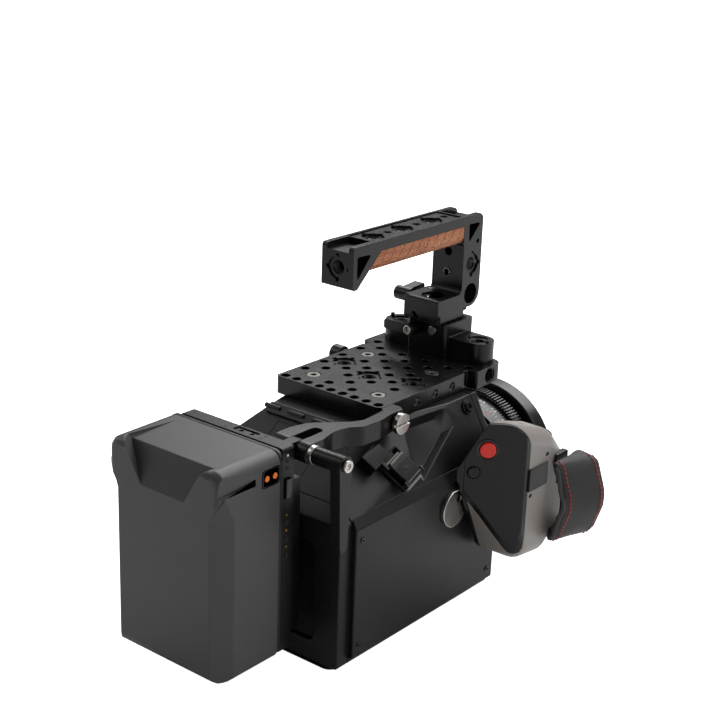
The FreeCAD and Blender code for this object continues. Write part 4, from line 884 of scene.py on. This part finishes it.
visible_shell = tree_of(bpy.data.objects["grip_shell_moulding"].data)
spots = []
for point, away, grow in (((100, 82, TOP - 20), (0, 0, 1), 0.8), ((106, 108, TOP - 30), (0, 0.2, 1), 2.2),
                          ((112, 92, TOP - 41), (1, 0, 0.05), 0.9), ((112, 74, TOP - 66), (1, 0, 0), 0.9),
                          ((112, 108, TOP - 66), (1, 0, 0), 0.9)):
    spot, normal = on_skin(visible_shell, point, Vector(away).normalized())
    spots.append((spot, normal, (0, 1, 0.2), grow))
# each opening is a near-black plug on the skin: painted shade in the opening
laid_out("grip_openings", lozenge(4.4, 3.0, 0.3), spots, deep_shadow, "grip_shell")
anchors = []
for z in (TOP - 51.5, TOP - 107):
    ring = rounded_outline([(101.5, z - 0.4, 1.5), (101.5, z + 7.4, 1.5), (116.5, z + 7.4, 1.5),
                            (116.5, z - 0.4, 1.5)], 3)
    anchors.append(skinned("anchor", [[(x, p.x, p.y) for p in ring] for x in (113.5, 118)]))
finished("strap_anchors", broken_edges(joined("anchors", anchors), 0.5), black_plastic, "grip_shell")
# the webbing slot's mouth is a near-black plug as well: painted shade in the slot
slot_mouth = lozenge(17, 2.6, 0.4)
mouth = set_out("slot_mouth", slot_mouth, [((116.02, 71.5, TOP - 54), (1, 0, 0), (0, 0, 1), 1)], deep_shadow)
finished("webbing_slot", mouth, deep_shadow, "grip_shell")
record_centre = Vector((95.7, 42 + (95.7 - inner_x) * 0.8 - 5, TOP - 30.9))
rings = []
side = facing.cross(Vector(UP))
for radius, reach in ((6.0, 0.05), (7.4, 0.05), (7.4, 0.7), (6.0, 0.45), (6.0, 0.05)):
    rings.append([tuple(record_centre + facing * reach + (side * c + Vector(UP) * s) * radius)
                  for c, s in wheel(48)])
finished("record_surround", skinned("record_surround", rings, closed=False), gloss_black, "grip_panel")

# %% [markdown]
# The hand strap is foam sewn into leather. The pad starts as a slightly slimmer copy of the CAD solid, is
# remeshed evenly and blown up a little as cloth so that it crowns between its edges; then come the rolled
# suede edges and two rows of red stitches that follow its surface.

# %% Padded hand strap
pad_low, pad_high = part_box("strap_pad")
source = bmesh.new()
source.from_mesh(frame["nodes"]["strap_pad"].data)
bmesh.ops.remove_doubles(source, verts=source.verts, dist=3e-6)
bmesh.ops.recalc_face_normals(source, faces=source.faces)
for vert in source.verts:
    vert.co -= vert.normal * 0.0009
pad = bpy.data.meshes.new("pad")
source.to_mesh(pad)
source.free()
pad_thing = shown("hand_strap_pad", pad)
even = pad_thing.modifiers.new("even", "REMESH")
even.mode, even.voxel_size = "VOXEL", 0.0022
pad = settled(pad_thing)
pad_thing = shown("hand_strap_pad", pad)
rest = [vert.co.copy() for vert in pad.vertices]
cloth = pad_thing.modifiers.new("cloth", "CLOTH")
cloth.settings.quality = 4
cloth.settings.use_pressure = True
cloth.settings.uniform_pressure_force = 4
cloth.settings.effector_weights.gravity = 0
cloth.settings.tension_stiffness = cloth.settings.compression_stiffness = 25
cloth.point_cache.frame_start, cloth.point_cache.frame_end = 1, 20
for step in range(1, 21):
    bpy.context.scene.frame_set(step)
pad = settled(pad_thing)
limit = 1.6 * MM
for vert, start in zip(pad.vertices, rest):
    shift = vert.co - start
    if shift.length > limit:
        vert.co = start + shift * (limit / shift.length)
bpy.context.scene.frame_set(1)
pad_thing = shown("hand_strap_pad", pad)
smooth = pad_thing.modifiers.new("smooth", "SMOOTH")
smooth.iterations, smooth.factor = 4, 0.5
finer = pad_thing.modifiers.new("finer", "SUBSURF")
finer.levels = finer.render_levels = 1
pad = settled(pad_thing)
strap = finished("hand_strap_pad", pad, leather, "strap_pad", ["strap_pad"], sharp=180)
pad_tree = tree_of(strap.data)
print("strap pad faces", len(pad.polygons))

# %% Strap edging and stitches
def pad_path(share, count=90):
    """Points along the pad's outer face, at a share of its width from the rear edge to the front."""
    y = (pad_low[1] + (pad_high[1] - pad_low[1]) * share) / MM
    crown = 134 + 14 * share
    points = rounded_outline([(118, -44, 3), (crown - 10, -47, 8), (crown, -76, 24), (crown - 10, -105, 8),
                              (118, -108, 3)], 8)[9:-9]
    path = []
    for p in points:
        away = (Vector((p.x, 0, p.y)) - Vector((112, 0, -76))).normalized()
        spot, normal = pad_tree.ray_cast((Vector((p.x, y, TOP + p.y)) + away * 20) * MM, -away)[:2]
        if spot:
            path.append((spot / MM, normal))
    return path


def evenly(path, gap):
    """Places every `gap` mm along a path of (point, normal)."""
    places, carry = [], 0.0
    for (a, na), (b, nb) in zip(path, path[1:]):
        length = (b - a).length
        while carry < length:
            share = carry / length
            places.append((a.lerp(b, share), na.lerp(nb, share).normalized(), (b - a).normalized()))
            carry += gap
        carry -= length
    return places


stitch = skinned("stitch", [[(x, 0.42 * thick * c, 0.3 + 0.34 * thick * s) for c, s in wheel(8)]
                            for x, thick in ((-1.1, 0.4), (-0.7, 1), (0.7, 1), (1.1, 0.4))])
places = []
for share in (0.16, 0.84):
    places += [(p, n, t, 1) for p, n, t in evenly(pad_path(share), 3.1)]
laid_out("strap_stitches", stitch, places, red_thread, "strap_pad")
cords = []
for share in (0.045, 0.955):
    path = pad_path(share)
    rings = []
    for k, (point, normal) in enumerate(path):
        along = (path[min(k + 1, len(path) - 1)][0] - path[max(k - 1, 0)][0]).normalized()
        across_edge = along.cross(normal).normalized()
        rings.append([tuple(point + (normal * math.cos(a) * 0.8 + across_edge * math.sin(a) * 1.5))
                      for a in [math.tau * q / 12 for q in range(12)]])
    cords.append(skinned("edging", rings))
finished("strap_edging", joined("edging", cords), suede, "strap_pad")
print(len(places), "stitches")

# %% [markdown]
# The webbing that ties the pad to the grip is flat, folded back on itself, so it is modelled directly as a
# thin band with rolled selvedges rather than simulated.

# %% Webbing
web_low, web_high = [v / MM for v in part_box("strap_webbing")[0]], [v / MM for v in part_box("strap_webbing")[1]]
rings = []
for k in range(15):
    y = web_low[1] + (web_high[1] - web_low[1]) * k / 14
    lift = 0.25 * math.sin(math.pi * k / 14)
    middle = (web_low[0] + web_high[0]) / 2 + lift
    section = rounded_outline([(middle + 0.6, web_low[2], 0.5), (middle + 0.6, web_high[2], 0.5),
                               (middle - 0.6, web_high[2], 0.5), (middle - 0.6, web_low[2], 0.5)], 3)
    rings.append([(p.x, y, p.y) for p in section])
finished("grip_webbing", skinned("grip_webbing", rings), webbing, "strap_webbing", ["strap_webbing"])

# %% [markdown]
# The sides out of view still get looked at: cooling slots on the left side and the back, and screws at the
# corners of both side covers, are set out by the same tree. The slots are near-black lozenges of painted shade.

# %% Cooling slots and cover screws
vents = [((-76.0, y, z), (-1, 0, 0), (0, 1, 0), 1) for y in (64, 71, 78) for z in (34, 40, 46, 52, 58)]
vents += [((x, -69.0, z), (0, -1, 0), RIGHT, 1.6) for x in range(-36, 37, 12) for z in range(30, 59, 7)]
# each slot is a near-black lozenge on the skin: painted shade in the slot
laid_out("cooling_slots", lozenge(5.4, 2.2, 0.4), vents, deep_shadow, "main_casing")
side_screws = [((side * 76.0, y, z), (side, 0, 0), FORWARD, 0.8)
               for side in (1, -1) for y in (-56, 88) for z in (22, 96)]
laid_out("cover_screws", cap_screw(2.6, 0.9), side_screws, gloss_black, "main_casing")
print("details set out")

# %% [markdown]
# The rig stands on a pale sweep under three large soft lights, as for a catalogue picture: one overhead and
# ahead of the lens that makes the top faces shine, and a wide fill from either side.

# %% Floor, lights and camera
floor_mesh = bpy.data.meshes.new("floor")
floor_mesh.from_pydata([(-9, -9, 0), (9, -9, 0), (9, 9, 0), (-9, 9, 0)], [], [(0, 1, 2, 3)])
floor = shown("floor", floor_mesh)
sweep = skin("matt_white_floor", "#eeeeee", "#f4f4f4", 0.8, 0.05, 5.0, 0.0, Emission_Color=linear("#ffffff"))
floor_mesh.materials.append(sweep)
# the paper sweep is lit from below for the eye alone, which keeps the backdrop evenly white
glow = add(sweep.node_tree, "ShaderNodeLightPath").outputs["Is Camera Ray"]
level = add(sweep.node_tree, "ShaderNodeMapRange", {"Value": glow, "To Min": 0.0, "To Max": 1.0})
paper = next(node for node in sweep.node_tree.nodes if node.type == "BSDF_PRINCIPLED")
sweep.node_tree.links.new(level.outputs[0], paper.inputs["Emission Strength"])


def soft_light(name, place, aim, size, power):
    lamp = bpy.data.lights.new(name, "AREA")
    lamp.shape, lamp.size, lamp.size_y, lamp.energy = "RECTANGLE", size[0], size[1], power
    thing = bpy.data.objects.new(name, lamp)
    bpy.context.scene.collection.objects.link(thing)
    thing.location = place
    thing.rotation_euler = (Vector(aim) - Vector(place)).to_track_quat("-Z", "Y").to_euler()


soft_light("overhead", (-0.3, 1.3, 1.7), (0, 0, 0.15), (2.4, 1.6), 52)
soft_light("left_fill", (-1.8, -0.6, 1.2), (0, 0, 0.15), (1.5, 1.5), 12)
soft_light("right_fill", (1.8, 0.6, 1.3), (0, 0, 0.15), (1.5, 1.5), 16)
world = bpy.data.worlds.new("studio")
bpy.context.scene.world = world
world.use_nodes = True
sky = world.node_tree
seen = add(sky, "ShaderNodeLightPath").outputs["Is Camera Ray"]
# the backdrop is white to the eye, and only lights the rig a little
power = add(sky, "ShaderNodeMapRange", {"Value": seen, "To Min": 0.14, "To Max": 1.0})
sky.nodes["Background"].inputs[0].default_value = linear("#ffffff")
sky.links.new(power.outputs[0], sky.nodes["Background"].inputs[1])

azimuth, elevation, roll = (math.radians(v) for v in (38.497, 19.189, 2.07))
right = Vector((math.cos(azimuth), math.sin(azimuth), 0))
ahead = Vector((-math.sin(azimuth) * math.cos(elevation), math.cos(azimuth) * math.cos(elevation),
                -math.sin(elevation)))
up = right.cross(ahead)
across = right * math.cos(roll) + up * math.sin(roll)
over = up * math.cos(roll) - right * math.sin(roll)
lens_data = bpy.data.cameras.new("camera")
lens_data.lens, lens_data.sensor_width = 73.75, 36.0
camera = bpy.data.objects.new("camera", lens_data)
bpy.context.scene.collection.objects.link(camera)
turn = Matrix((across, over, -ahead)).transposed().to_4x4()
camera.matrix_world = Matrix.Translation((0.590655, -0.712474, 0.50562)) @ turn
bpy.context.scene.camera = camera
bpy.context.scene.view_settings.view_transform = "Standard"
